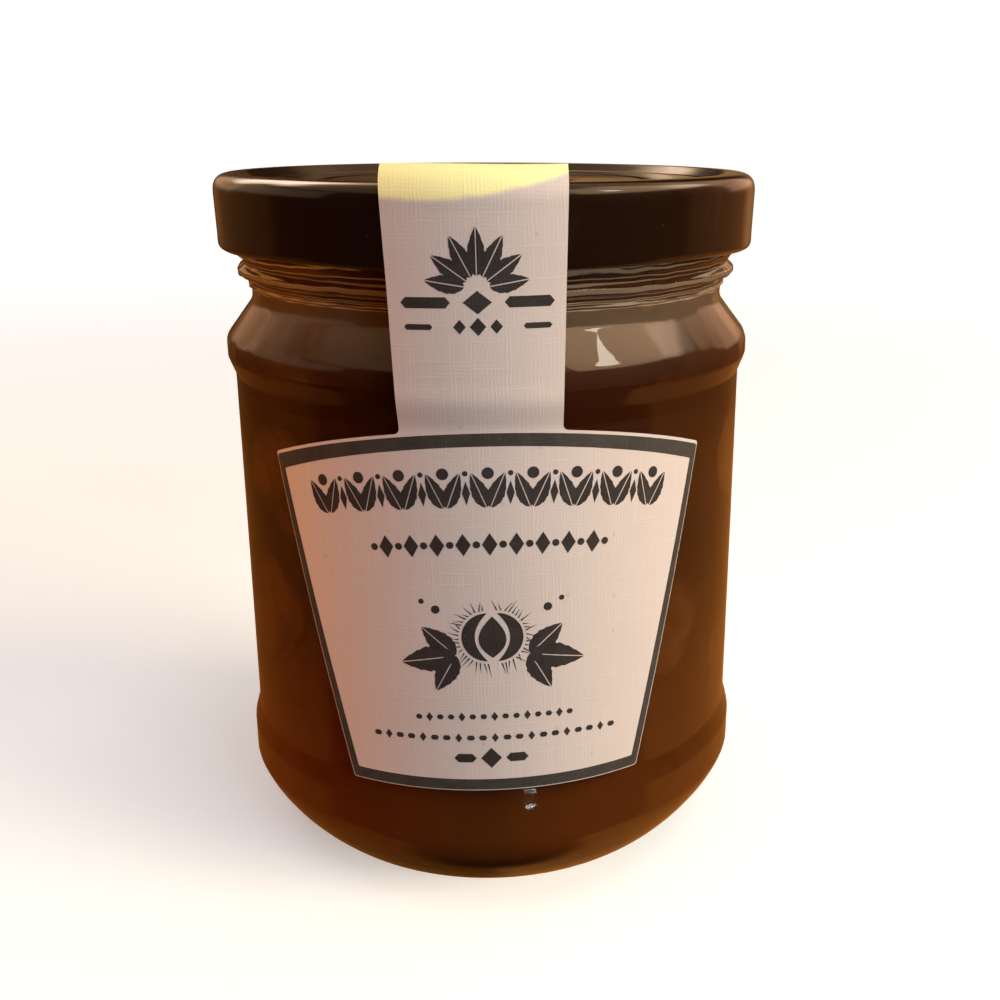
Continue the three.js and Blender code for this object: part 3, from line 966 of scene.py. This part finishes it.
def lines_print():
    """Two beaded lines, and a lozenge between bars below them."""
    middle, lowest = -0.5 * MM, 21.3 * MM
    loops = []
    bead = lozenge(0.8 * MM, 1.15 * MM)
    for half, up, pitch, long in ((9.2, 26.6, 1.25, 0.8), (14, 23.9, 1.4, 0.95)):
        dash = bar(long * MM, 0.62 * MM, 0.2 * MM)
        loops += frieze(half * MM, up * MM, 0.25 * MM, pitch * MM, [bead, dash, dash])
    loops += moved(lozenge(2.4 * MM, 2.6 * MM), middle, lowest)
    for side in (-1, 1):
        loops += moved(bar(2.6 * MM, 1.1 * MM, 0.5 * MM), middle + side * 3 * MM, lowest)
    return loops


def crest_print():
    """A fan of leaves over a beaded rule, on the strip."""
    middle, rule, beads = -0.5 * MM, 74 * MM, 71.5 * MM
    loops = []
    for i in range(-3, 4):
        blade = moved(leaf((4.9 - 0.25 * abs(i)) * MM, 1.6 * MM, teeth=5), 0, 1.3 * MM)
        loops += moved(blade, middle, 75.4 * MM, -i * 0.47)
    for side in (-1, 1):
        loops += moved(bar(5.2 * MM, 1.15 * MM, 0.5 * MM), middle + side * 5.4 * MM, rule)
        loops += moved(bar(3.0 * MM, 0.6 * MM, 0.25 * MM), middle + side * 6.2 * MM, beads)
        loops += moved(lozenge(1.3 * MM, 1.5 * MM), middle + side * 1.9 * MM, beads)
    loops += moved(lozenge(3.0 * MM, 2.4 * MM), middle, rule)
    loops += moved(lozenge(1.7 * MM, 1.9 * MM), middle, beads)
    return loops


def band_print():
    """The dark frame between two loops of the panel's outline, as four-sided loops."""
    outer = closed(panel_outline(0.1 * MM, 0.1 * MM, 0.32 * MM))
    inner = closed(panel_outline(1.05 * MM, 1.45 * MM, 1.75 * MM, corner=0.2 * MM))
    return [np.array([outer[i - 1], outer[i], inner[i], inner[i - 1]]) for i in range(len(outer))]


class JAR_OT_print_label(Operator):
    """Print the label: a dark frame, a garland, a husk with leaves, beaded lines and a crest of leaves"""

    bl_idname = "jar.print_label"
    bl_label = "Print Label"

    def execute(self, context):
        label = context.scene.jar_label
        inks = context.scene.jar_print
        prints = {
            "print_band": (band_print(), inks.band),
            "print_garland": (garland_print(), inks.ink),
            "print_beads": (beads_print(), inks.ink),
            "print_husk": (husk_print(), inks.ink),
            "print_lines": (lines_print(), inks.ink),
            "print_crest": (crest_print(), inks.ink),
        }
        for name, (loops, tone) in prints.items():
            points, faces = cut_fine(loops, inks.cell)
            lift = settled(points[:, 0], points[:, 1], label) + label.front
            mesh = sheet_solid(name, points, faces, lift + inks.thickness, lift - inks.thickness)
            put(name, mesh, ink_finish(name, tone, label))
        return {"FINISHED"}


# ---------- shader node groups ----------

def feed(tree, node, inputs):
    """Sets a node's inputs, each to a socket that feeds it or to a plain number, vector or colour."""
    for name, value in inputs.items():
        socket = node.inputs[name]
        if isinstance(value, bpy.types.NodeSocket):
            tree.links.new(value, socket)
        else:
            socket.default_value = (*value, 1) if socket.type == "RGBA" else value


def add(tree, kind, inputs=None, **settings):
    """A new node with these settings and inputs."""
    node = tree.nodes.new(kind)
    for name, value in settings.items():
        setattr(node, name, value)
    feed(tree, node, inputs or {})
    return node


def math_node(tree, operation, first, second=0.0):
    return add(tree, "ShaderNodeMath", {0: first, 1: second}, operation=operation).outputs[0]


def vector_node(tree, operation, inputs):
    return add(tree, "ShaderNodeVectorMath", inputs, operation=operation).outputs


def ranged(tree, value, low, high, to_low=0.0, to_high=1.0, smooth=False):
    kind = "SMOOTHSTEP" if smooth else "LINEAR"
    inputs = {"Value": value, "From Min": low, "From Max": high, "To Min": to_low, "To Max": to_high}
    return add(tree, "ShaderNodeMapRange", inputs, interpolation_type=kind).outputs[0]


def blended(tree, factor, first, second, blend="MIX"):
    """A mix of two colours, each a socket or a plain colour."""
    inputs = {0: factor, 6: first, 7: second}
    return add(tree, "ShaderNodeMix", inputs, data_type="RGBA", blend_type=blend).outputs[2]


def laid_over(tree, cover, share, base, tone):
    """A base colour with a share of another tone where the cover lies."""
    return blended(tree, math_node(tree, "MULTIPLY", cover, share), base, tone)


def toned(tone, by):
    """A plain colour made darker or lighter."""
    return tuple(by * part for part in tone)


def height_of(tree, place):
    return add(tree, "ShaderNodeSeparateXYZ", {0: place}).outputs[2]


def noise(tree, vector, scale, detail, roughness, distortion=0.0):
    return add(tree, "ShaderNodeTexNoise", {
        "Vector": vector,
        "Scale": scale,
        "Detail": detail,
        "Roughness": roughness,
        "Distortion": distortion,
    }).outputs[0]


def new_group(name, inputs, outputs):
    """An empty node group, and its input and output nodes. Inputs have a default, or None for a vector."""
    tree = bpy.data.node_groups.new(name, "ShaderNodeTree")
    for socket, default in inputs.items():
        kind = "NodeSocketVector" if default is None else "NodeSocketFloat"
        made = tree.interface.new_socket(socket, in_out="INPUT", socket_type=kind)
        if default is not None:
            made.default_value = default
    for socket in outputs:
        tree.interface.new_socket(socket, in_out="OUTPUT", socket_type="NodeSocketFloat")
    return tree, tree.nodes.new("NodeGroupInput"), tree.nodes.new("NodeGroupOutput")


def handling_marks():
    """Smears from fingers, and fine scratches."""
    inputs = {"Vector": None, "Scale": 1.0}
    tree, given, made = new_group("Handling Marks", inputs, ["Smears", "Scratches"])
    place = vector_node(tree, "SCALE", {0: given.outputs["Vector"], 3: given.outputs["Scale"]})[0]
    cloud = noise(tree, place, 38, 4, 0.6, 0.6)
    stretch = {"Vector": place, "Rotation": (0.3, 0.5, 0.9), "Scale": (40, 420, 60)}
    lines = noise(tree, add(tree, "ShaderNodeMapping", stretch).outputs[0], 1.0, 2, 0.5, 0.3)
    thin = ranged(tree, lines, 0.66, 0.72, smooth=True)
    feed(tree, made, {
        "Smears": ranged(tree, cloud, 0.46, 0.72, smooth=True),
        "Scratches": math_node(tree, "MULTIPLY", thin, ranged(tree, cloud, 0.4, 0.6)),
    })
    return tree


def dust_specks():
    """Small specks, thinly and unevenly spread."""
    inputs = {"Vector": None, "Scale": 900.0, "Cover": 0.1}
    tree, given, made = new_group("Dust Specks", inputs, ["Specks"])
    spread = {"Vector": given.outputs["Vector"], "Scale": given.outputs["Scale"]}
    cells = add(tree, "ShaderNodeTexVoronoi", spread).outputs
    near = ranged(tree, cells["Distance"], 0.12, 0.22, 1, 0, smooth=True)
    pick = add(tree, "ShaderNodeSeparateColor", {0: cells["Color"]}).outputs[0]
    picked = math_node(tree, "LESS_THAN", pick, given.outputs["Cover"])
    feed(tree, made, {"Specks": math_node(tree, "MULTIPLY", near, picked)})
    return tree


def linen_weave():
    """Embossed threads both ways across the sheet, thick and thin in turns."""
    inputs = {"Sheet": None, "Pitch": 0.0055}
    tree, given, made = new_group("Linen Weave", inputs, ["Height", "Slubs"])
    sheet = given.outputs["Sheet"]
    turns = math_node(tree, "DIVIDE", FULL_TURN, given.outputs["Pitch"])
    bent = math_node(tree, "MULTIPLY", noise(tree, sheet, 42, 2, 0.5), 0.006)
    parts = add(tree, "ShaderNodeSeparateXYZ", {0: sheet}).outputs
    heights = []
    for axis, stretch in ((0, (90, 7, 1)), (1, (7, 90, 1))):
        along = math_node(tree, "ADD", parts[axis], bent)
        wave = math_node(tree, "SINE", math_node(tree, "MULTIPLY", along, turns))
        long = add(tree, "ShaderNodeMapping", {"Vector": sheet, "Scale": stretch}).outputs[0]
        slub = ranged(tree, noise(tree, long, 1.6, 2, 0.6), 0.38, 0.68)
        heights.append(math_node(tree, "MULTIPLY", ranged(tree, wave, -1, 1), slub))
    crossed = math_node(tree, "MULTIPLY", *heights)
    feed(tree, made, {
        "Height": math_node(tree, "MAXIMUM", *heights),
        "Slubs": ranged(tree, crossed, 0.18, 0.6, smooth=True),
    })
    return tree


def slow_mottle():
    """Soft clouds of two sizes."""
    inputs = {"Vector": None, "Scale": 60.0}
    tree, given, made = new_group("Slow Mottle", inputs, ["Clouds", "Grain"])
    place, scale = given.outputs["Vector"], given.outputs["Scale"]
    clouds = noise(tree, place, scale, 3, 0.5, 0.8)
    finer = math_node(tree, "MULTIPLY", scale, 5.3)
    feed(tree, made, {
        "Clouds": ranged(tree, clouds, 0.32, 0.7, smooth=True),
        "Grain": noise(tree, place, finer, 5, 0.65),
    })
    return tree


def room_patch():
    """1 inside a patch of the world's sphere: azimuths near an aim, and elevations between two."""
    inputs = {"Way": None, "Aim": None, "Start": 0.8, "Full": 0.9, "Low": 0.0, "High": 1.0}
    tree, given, made = new_group("Room Patch", inputs, ["Mask"])
    way, aim, start, full, low, high = given.outputs[:6]
    level = vector_node(tree, "MULTIPLY", {0: way, 1: (1, 1, 0)})[0]
    level = vector_node(tree, "NORMALIZE", {0: level})[0]
    near = vector_node(tree, "DOT_PRODUCT", {0: level, 1: aim})["Value"]
    across = ranged(tree, near, start, full, smooth=True)
    elevation = math_node(tree, "ARCSINE", height_of(tree, way))
    soft = math.radians(ROOM_SOFTNESS) / 2
    above = ranged(tree, math_node(tree, "SUBTRACT", elevation, low), -soft, soft, smooth=True)
    below = ranged(tree, math_node(tree, "SUBTRACT", high, elevation), -soft, soft, smooth=True)
    band = math_node(tree, "MULTIPLY", above, below)
    feed(tree, made, {"Mask": math_node(tree, "MULTIPLY", across, band)})
    return tree


GROUPS = {
    "Room Patch": room_patch,
    "Handling Marks": handling_marks,
    "Dust Specks": dust_specks,
    "Linen Weave": linen_weave,
    "Slow Mottle": slow_mottle,
}


def use_group(tree, name, inputs):
    """A shared effect placed in a material with its own values; the group is built the first time."""
    group = bpy.data.node_groups.get(name) or GROUPS[name]()
    return add(tree, "ShaderNodeGroup", inputs, node_tree=group).outputs


# ---------- finishes ----------

def blank(name):
    """A new material with its Principled shader on the output, and its tree."""
    material = bpy.data.materials.new(name)
    material.use_nodes = True
    tree = material.node_tree
    tree.nodes.clear()
    shader = add(tree, "ShaderNodeBsdfPrincipled")
    add(tree, "ShaderNodeOutputMaterial", {"Surface": shader.outputs[0]})
    return material, tree, shader


def bumped(tree, height, strength, distance, normal=None):
    inputs = {"Height": height, "Strength": strength, "Distance": distance}
    if normal is not None:
        inputs["Normal"] = normal
    return add(tree, "ShaderNodeBump", inputs).outputs[0]


def object_place(tree):
    return add(tree, "ShaderNodeTexCoord").outputs["Object"]


def glass_finish(glass):
    """Clear glass with a faint tint, smears and a slight ripple. Lamps shine through it."""
    material, tree, shader = blank("jar_glass")
    place = object_place(tree)
    marks = use_group(tree, "Handling Marks", {"Vector": place, "Scale": 1.3})
    flow = noise(tree, place, 70, 2, 0.5, 0.5)
    tone = ranged(tree, flow, 0.3, 0.7)
    ringed = ranged(tree, height_of(tree, place), NECK_LOW, NECK_TOP + 0.5 * MM, smooth=True)
    rough_rings = math_node(tree, "MULTIPLY", noise(tree, place, 650, 2, 0.5), ringed)
    feed(tree, shader, {
        "Base Color": blended(tree, tone, glass.tint, toned(glass.tint, 0.97)),
        "Roughness": ranged(tree, marks["Smears"], 0, 1, 0.015, 0.07),
        "Transmission Weight": 1.0,
        "IOR": 1.5,
        "Normal": bumped(tree, rough_rings, 0.45, 0.06 * MM, bumped(tree, flow, 0.12, 0.25 * MM)),
    })
    lamp = add(tree, "ShaderNodeLightPath").outputs["Is Shadow Ray"]
    clear = add(tree, "ShaderNodeBsdfTransparent")
    both = add(tree, "ShaderNodeMixShader", {0: lamp, 1: shader.outputs[0], 2: clear.outputs[0]})
    output = next(node for node in tree.nodes if node.type == "OUTPUT_MATERIAL")
    tree.links.new(both.outputs[0], output.inputs["Surface"])
    return material


PALER_BETWEEN = (52 * MM, 8 * MM)  # the syrup grows paler from the first height to the second
# Painted highlights: bright rings painted on the syrup behind the ledge, the bead and the thread.
# Lowest and highest point of each ring, and how far it hides the syrup.
RING_HIGHLIGHTS = ((72.2 * MM, 72.5 * MM, 0.8), (73.6 * MM, 74.2 * MM, 0.45), (75.8 * MM, 76.0 * MM, 0.6))
RING_HIGHLIGHT_SOFT = 0.12 * MM
RING_HIGHLIGHT_STRAY = 0.4 * MM


def syrup_colour(tree, filling, place):
    """Dark above and paler below, with slow swirls; painted light in the neck and painted highlights as
    fine rings behind the glass rings.
    """
    clouds = use_group(tree, "Slow Mottle", {"Vector": place, "Scale": 42.0})
    up = height_of(tree, place)
    swirled = math_node(tree, "ADD", up, math_node(tree, "MULTIPLY", clouds["Clouds"], 12 * MM))
    # The syrup grows paler towards the bottom.
    sunk = ranged(tree, swirled, *PALER_BETWEEN, 0.0, 0.85, smooth=True)
    base = blended(tree, sunk, filling.dark, filling.light)
    base = laid_over(tree, clouds["Clouds"], 0.15, base, filling.light)
    # Painted light: lighter syrup up the shoulder and in the neck, back to the dark syrup above the ledge.
    rising = ranged(tree, up, SHOULDER_LOW, NECK_LOW, 0.0, 0.85, smooth=True)
    stopping = ranged(tree, up, LEDGE_LOW - 0.3 * MM, LEDGE_LOW + 0.2 * MM, 1.0, 0.1, smooth=True)
    painted_neck_light = math_node(tree, "MULTIPLY", rising, stopping)
    base = blended(tree, painted_neck_light, base, filling.painted_neck_light)
    # Painted highlights: the glass rings' bright lines, painted on the syrup behind them.
    stray = math_node(tree, "MULTIPLY", noise(tree, place, 120, 3, 0.6), RING_HIGHLIGHT_STRAY)
    wavy = math_node(tree, "ADD", up, stray)
    for low, high, cover in RING_HIGHLIGHTS:
        starts = ranged(tree, wavy, low - RING_HIGHLIGHT_SOFT, low, 0.0, cover, smooth=True)
        ends = ranged(tree, wavy, high, high + RING_HIGHLIGHT_SOFT, 1.0, 0.0, smooth=True)
        base = laid_over(tree, starts, ends, base, filling.painted_ring_light)
    return base, clouds


def syrup_finish(filling):
    """Dense, dark fruit syrup."""
    material, tree, shader = blank("dark_syrup")
    place = object_place(tree)
    base, clouds = syrup_colour(tree, filling, place)
    feed(tree, shader, {
        "Base Color": base,
        "Roughness": ranged(tree, clouds["Grain"], 0.2, 0.8, 0.35, 0.6),
        "Specular IOR Level": 0.08,
    })
    return material


def chestnut_finish(filling):
    """Steeped chestnuts, which fade into the syrup where they sink away from the glass."""
    material, tree, shader = blank("steeped_chestnut")
    place = object_place(tree)
    base, _ = syrup_colour(tree, filling, place)
    press = add(tree, "ShaderNodeAttribute", attribute_name="press").outputs["Fac"]
    tone = add(tree, "ShaderNodeAttribute", attribute_name="tone").outputs["Fac"]
    grain = use_group(tree, "Slow Mottle", {"Vector": place, "Scale": 190.0})
    skin = blended(tree, ranged(tree, tone, 0, 1, 0.1, 0.9), toned(filling.nut, 0.5), filling.nut)
    skin = laid_over(tree, grain["Clouds"], 0.5, skin, filling.dark)
    shown = math_node(tree, "MULTIPLY", press, ranged(tree, grain["Grain"], 0.3, 0.7, 0.35, 0.75))
    feed(tree, shader, {
        "Base Color": blended(tree, shown, base, skin),
        "Roughness": ranged(tree, grain["Grain"], 0.2, 0.8, 0.35, 0.6),
        "Specular IOR Level": 0.08,
    })
    return material


DUST = (0.2, 0.16, 0.13)


def lacquer_finish(lid):
    """Deep brown lacquer on sheet metal: orange peel, smears, fine scratches and a little dust."""
    material, tree, shader = blank("lid_lacquer")
    place = object_place(tree)
    marks = use_group(tree, "Handling Marks", {"Vector": place, "Scale": 1.0})
    dust = use_group(tree, "Dust Specks", {"Vector": place, "Scale": 1500.0, "Cover": 0.02})
    base = laid_over(tree, marks["Scratches"], 0.55, lid.lacquer, lid.worn)
    base = laid_over(tree, dust["Specks"], 0.16, base, DUST)
    peel = noise(tree, place, 900, 2, 0.5)
    slow = noise(tree, place, 150, 2, 0.5)
    feed(tree, shader, {
        "Base Color": base,
        "Roughness": ranged(tree, marks["Smears"], 0, 1, 0.3, 0.45),
        "Specular IOR Level": 0.1,
        "Coat Weight": ranged(tree, marks["Smears"], 0, 1, 1.0, 0.75),
        "Coat Roughness": 0.06,
        "Coat IOR": 1.5,
        "Normal": bumped(tree, peel, 0.03, 0.02 * MM, bumped(tree, slow, 0.04, 0.1 * MM)),
    })
    return material


def sheet_place(tree):
    return add(tree, "ShaderNodeUVMap", uv_map="Sheet").outputs[0]


TOP_LIGHT_FOOT = 84.5 * MM  # lower edge of the painted warm light at the strip's middle
TOP_LIGHT_EDGE = 0.8 * MM  # the width over which it fades
TOP_LIGHT_LEAN = 0.13
TOP_LIGHT_BOW = 1.2
FIBRE = (0.3, 0.22, 0.18)


def painted_top_light_mask(tree, sheet, grain):
    """Where warm light is painted on the top of the strip, above a leaning, bowed and rough edge."""
    parts = add(tree, "ShaderNodeSeparateXYZ", {0: sheet}).outputs
    across = math_node(tree, "SUBTRACT", parts[0], 0.5)
    lean = math_node(tree, "MULTIPLY", across, TOP_LIGHT_LEAN)
    bow = math_node(tree, "MULTIPLY", math_node(tree, "MULTIPLY", across, across), TOP_LIGHT_BOW)
    over = math_node(tree, "SUBTRACT", parts[1], math_node(tree, "ADD", lean, bow))
    over = math_node(tree, "ADD", over, math_node(tree, "MULTIPLY", grain, 0.006))
    edge = [height / SHEET_UNIT for height in (TOP_LIGHT_FOOT, TOP_LIGHT_FOOT + TOP_LIGHT_EDGE)]
    return ranged(tree, over, *edge, smooth=True)


def paper_finish(label):
    """Linen-embossed paper, with painted shade in the weave's hollows and painted warm light, pale yellow,
    on the top of the strip.
    """
    material, tree, shader = blank("label_linen_paper")
    sheet = sheet_place(tree)
    linen = use_group(tree, "Linen Weave", {"Sheet": sheet, "Pitch": label.thread_pitch / SHEET_UNIT})
    mottle = use_group(tree, "Slow Mottle", {"Vector": sheet, "Scale": 9.0})
    fibres = use_group(tree, "Dust Specks", {"Vector": sheet, "Scale": 70.0, "Cover": 0.06})
    paper = label.paper
    # Painted shade: the hollows between the embossed threads are painted darker.
    hollows = ranged(tree, linen["Height"], 0.1, 0.8, 0.75, 0.0)
    base = blended(tree, hollows, paper, toned(paper, 0.94))
    base = laid_over(tree, mottle["Clouds"], 0.35, base, toned(paper, 0.93))
    base = laid_over(tree, linen["Slubs"], 0.5, base, toned(paper, 1.05))
    # Painted light: the warm light on the strip's top, painted in as pale yellow.
    base = blended(tree, painted_top_light_mask(tree, sheet, mottle["Grain"]), base, label.field)
    base = laid_over(tree, fibres["Specks"], 0.22, base, FIBRE)
    feed(tree, shader, {
        "Base Color": base,
        "Roughness": ranged(tree, linen["Height"], 0, 1, 0.86, 0.66),
        "Specular IOR Level": 0.35,
        "Normal": bumped(tree, linen["Height"], 0.32, 0.04 * MM),
    })
    return material


def ink_finish(name, tone, label):
    """Matt ink that lets the linen show, with small gaps where it missed the threads' hollows."""
    material, tree, shader = blank(name)
    sheet = sheet_place(tree)
    linen = use_group(tree, "Linen Weave", {"Sheet": sheet, "Pitch": label.thread_pitch / SHEET_UNIT})
    mottle = use_group(tree, "Slow Mottle", {"Vector": sheet, "Scale": 30.0})
    gaps = use_group(tree, "Dust Specks", {"Vector": sheet, "Scale": 420.0, "Cover": 0.12})
    base = laid_over(tree, mottle["Clouds"], 0.6, tone, toned(tone, 1.5))
    base = laid_over(tree, linen["Height"], 0.3, base, toned(tone, 1.9))
    base = laid_over(tree, gaps["Specks"], 0.2, base, label.paper)
    feed(tree, shader, {
        "Base Color": base,
        "Roughness": ranged(tree, mottle["Grain"], 0.2, 0.8, 0.5, 0.72),
        "Specular IOR Level": 0.4,
        "Normal": bumped(tree, linen["Height"], 0.35, 0.05 * MM),
    })
    return material


# ---------- stage ----------

CAMERA_PLACE = (8.09 * MM, -160.2 * MM, 91.67 * MM)
CAMERA_PITCH = math.radians(17.54)
CAMERA_ROLL = math.radians(-0.1)
CAMERA_SHIFT = (-0.0512, 0.0109)
FLOOR_HALF = 3.0
FLOOR_FADE = (0.1, 0.9)  # distances from the jar over which the floor's glow grows
FLOOR_GLOW = (0.32, 0.92)
BLACK = (0.0, 0.0, 0.0)
WHITE = (1.0, 1.0, 1.0)
FILL_TONE = (1.0, 0.96, 0.96)
JAR_MIDDLE = 45 * MM
# Each lamp: its name, place, the height on the jar's axis that it aims at, its size and colour, and
# whether gloss sees it.
LAMPS = (
    ("key", (0.64, -0.24, 0.3), JAR_MIDDLE, (0.4, 0.4), (1.0, 0.88, 0.56), False),
    ("front", (0.42, -0.62, 0.3), JAR_MIDDLE, (0.4, 0.4), (0.74, 0.86, 1.0), False),
    ("warm", (-0.62, -0.02, 0.075), JAR_MIDDLE, (0.15, 0.15), (1.0, 0.38, 0.05), False),
    ("overhead", (0.06, -0.02, 0.7), JAR_MIDDLE, (0.45, 0.45), (1.0, 0.94, 0.86), False),
    ("window", (0.36, -0.15, 0.5), 68 * MM, (0.07, 0.07), (1.0, 0.9, 0.76), True),
    ("glint", (0.19, -0.6, 0.023), 15 * MM, (0.05, 0.008), (0.85, 0.97, 1.0), True),
)


def softbox(name, place, aim, size, tone, glossy, strength):
    """A rectangular area light that the camera doesn't see."""
    data = bpy.data.lights.new(name, "AREA")
    data.shape = "RECTANGLE"
    data.size, data.size_y = size
    data.energy = strength
    data.color = tone
    lamp = bpy.data.objects.new(name, data)
    lamp.location = place
    lamp.rotation_euler = (Vector((0, 0, aim)) - Vector(place)).to_track_quat("-Z", "Y").to_euler()
    lamp.visible_camera = False
    lamp.visible_glossy = glossy
    bpy.context.scene.collection.objects.link(lamp)


# What gloss and glass see of the room, as soft-edged patches: azimuth and half width, lowest and highest
# elevation (degrees; azimuth 0 is the camera's side and grows towards +X), and colour.
ROOM_PATCHES = (
    (0, 190, 38, 95, (0.50, 0.33, 0.18)),  # ceiling
    (88, 38, 34, 66, (2.7, 1.75, 1.0)),  # its bright side on the right
    (-134, 12, 38, 46, (4.6, 3.3, 2.4)),  # lamp on the left
    (118, 10, 32, 46, (2.0, 1.5, 1.1)),  # lamp on the right
    (-147, 9, 22, 42, (4.2, 3.1, 2.3)),  # edge of the wall behind, left
    (-163, 11, 27, 50, (1.1, 0.68, 0.33)),  # wall behind, left
    (138, 12, 24, 46, (0.9, 0.55, 0.32)),  # wall on the right
    (-98, 26, 8, 34, (0.45, 0.32, 0.2)),  # pale wall on the left
    (142, 12, 4, 22, (0.95, 0.55, 0.33)),  # pale thing on the right
    (-142, 12, 4, 22, (0.60, 0.36, 0.20)),  # pale thing on the left
    (-165, 18, -9, 9, (0.07, 0.03, 0.010)),  # horizon behind, left
    (164, 16, -9, 9, (0.25, 0.13, 0.046)),  # horizon behind, right
    (-125, 26, -10, 30, (0.14, 0.055, 0.016)),  # left side
    (125, 26, -10, 30, (0.24, 0.085, 0.025)),  # right side
    (-130, 46, -70, -12, (0.19, 0.060, 0.008)),  # table, left
    (130, 46, -70, -12, (0.46, 0.16, 0.030)),  # table, right
)
ROOM_DARK = (0.015, 0.006, 0.002)  # the room between its patches
ROOM_SOFTNESS = 9  # width of a patch's soft edge in degrees
THROUGH_GLASS = (0.01, 0.8)  # shares of the low and of the high room that show through the glass
THROUGH_RISE = (0.58, 0.70)  # between which heights of the world's sphere the share grows


def room_light(fill):
    """White to the camera, an even fill for matt surfaces, and a dim warm room in gloss and glass."""
    world = bpy.data.worlds.new("studio")
    world.use_nodes = True
    tree = world.node_tree
    tree.nodes.clear()
    way = add(tree, "ShaderNodeTexCoord").outputs["Generated"]
    room = ROOM_DARK
    for azimuth, half_width, low, high, tone in ROOM_PATCHES:
        turn = math.radians(azimuth)
        mask = use_group(tree, "Room Patch", {
            "Way": way,
            "Aim": (math.sin(turn), -math.cos(turn), 0),
            "Start": math.cos(math.radians(min(180, half_width + ROOM_SOFTNESS))) - 1e-3,
            "Full": math.cos(math.radians(min(180, half_width))),
            "Low": math.radians(low),
            "High": math.radians(high),
        })["Mask"]
        room = blended(tree, 1.0, room, blended(tree, mask, BLACK, tone), "ADD")
    path = add(tree, "ShaderNodeLightPath").outputs
    through = path["Is Transmission Ray"]
    clear = ranged(tree, height_of(tree, way), *THROUGH_RISE, *THROUGH_GLASS)
    room = laid_over(tree, through, math_node(tree, "SUBTRACT", 1.0, clear), room, BLACK)
    seen, even, warm = (
        add(tree, "ShaderNodeBackground", {"Color": tone, "Strength": strength}).outputs[0]
        for tone, strength in ((WHITE, 1.0), (FILL_TONE, fill), (room, 1.0))
    )
    sharp = math_node(tree, "MAXIMUM", path["Is Glossy Ray"], through)
    other = add(tree, "ShaderNodeMixShader", {0: sharp, 1: even, 2: warm}).outputs[0]
    full = add(tree, "ShaderNodeMixShader", {0: path["Is Camera Ray"], 1: other, 2: seen})
    add(tree, "ShaderNodeOutputWorld", {"Surface": full.outputs[0]})
    return world


def floor_finish(tone):
    """A pale matt floor that grows lighter towards the horizon, with the faintest unevenness."""
    material, tree, shader = blank("studio_floor")
    place = object_place(tree)
    cloud = noise(tree, place, 6, 3, 0.5)
    distance = vector_node(tree, "LENGTH", {0: place})["Value"]
    glow = ranged(tree, distance, *FLOOR_FADE, *FLOOR_GLOW, smooth=True)
    camera_ray = add(tree, "ShaderNodeLightPath").outputs["Is Camera Ray"]
    feed(tree, shader, {
        "Base Color": blended(tree, cloud, tone, toned(tone, 0.98)),
        "Roughness": 0.9,
        "Specular IOR Level": 0.1,
        "Emission Color": laid_over(tree, glow, camera_ray, BLACK, WHITE),
        "Emission Strength": 1.0,
    })
    return material


class JAR_OT_set_stage(Operator):
    """Set the pale floor, the soft lights and the camera"""

    bl_idname = "jar.set_stage"
    bl_label = "Set Stage"

    def execute(self, context):
        stage = context.scene.jar_stage
        scene = context.scene
        corners = [(x * FLOOR_HALF, y * FLOOR_HALF, 0) for x, y in ((-1, -1), (1, -1), (1, 1), (-1, 1))]
        mesh = bpy.data.meshes.new("floor")
        mesh.from_pydata(corners, [], [(0, 1, 2, 3)])
        mesh.materials.append(floor_finish(stage.floor))
        floor = bpy.data.objects.new("floor", mesh)
        scene.collection.objects.link(floor)
        floor.visible_glossy = False
        floor.visible_transmission = False
        floor.visible_diffuse = False

        for name, *lamp in LAMPS:
            softbox(name, *lamp, getattr(stage, name))
        scene.world = room_light(stage.fill)
        scene.view_settings.view_transform = "Standard"

        data = bpy.data.cameras.new("camera")
        data.lens = stage.focal
        data.shift_x, data.shift_y = CAMERA_SHIFT
        data.clip_start = 5 * MM
        camera = bpy.data.objects.new("camera", data)
        camera.location = CAMERA_PLACE
        camera.rotation_euler = (math.pi / 2 - CAMERA_PITCH, CAMERA_ROLL, 0)
        scene.collection.objects.link(camera)
        scene.camera = camera
        return {"FINISHED"}


# ---------- panel and registration ----------

OPERATORS = (
    JAR_OT_set_stage,
    JAR_OT_blow_glass,
    JAR_OT_pour_syrup,
    JAR_OT_sink_chestnuts,
    JAR_OT_press_lid,
    JAR_OT_wrap_label,
    JAR_OT_print_label,
)
SETTINGS = {
    "jar_glass": GlassSettings,
    "jar_filling": FillingSettings,
    "jar_lid": LidSettings,
    "jar_label": LabelSettings,
    "jar_print": PrintSettings,
    "jar_stage": StageSettings,
}


class JAR_PT_tools(Panel):
    """Lists the jar's pieces and their settings"""

    bl_idname = "JAR_PT_tools"
    bl_label = "Jar of Chestnuts"
    bl_space_type = "VIEW_3D"
    bl_region_type = "UI"
    bl_category = "Jar"

    def draw(self, context):
        for operator in OPERATORS:
            self.layout.operator(operator.bl_idname)
        for name, settings in SETTINGS.items():
            box = self.layout.box()
            for prop in settings.__annotations__:
                box.prop(getattr(context.scene, name), prop)


def register():
    for made in (*SETTINGS.values(), *OPERATORS, JAR_PT_tools):
        bpy.utils.register_class(made)
    for name, settings in SETTINGS.items():
        setattr(bpy.types.Scene, name, PointerProperty(type=settings))


def unregister():
    for name in SETTINGS:
        delattr(bpy.types.Scene, name)
    for made in (JAR_PT_tools, *OPERATORS, *SETTINGS.values()):
        bpy.utils.unregister_class(made)


def main():
    register()
    for operator in OPERATORS:
        group, name = operator.bl_idname.split(".")
        getattr(getattr(bpy.ops, group), name)()


if __name__ == "__main__":
    main()
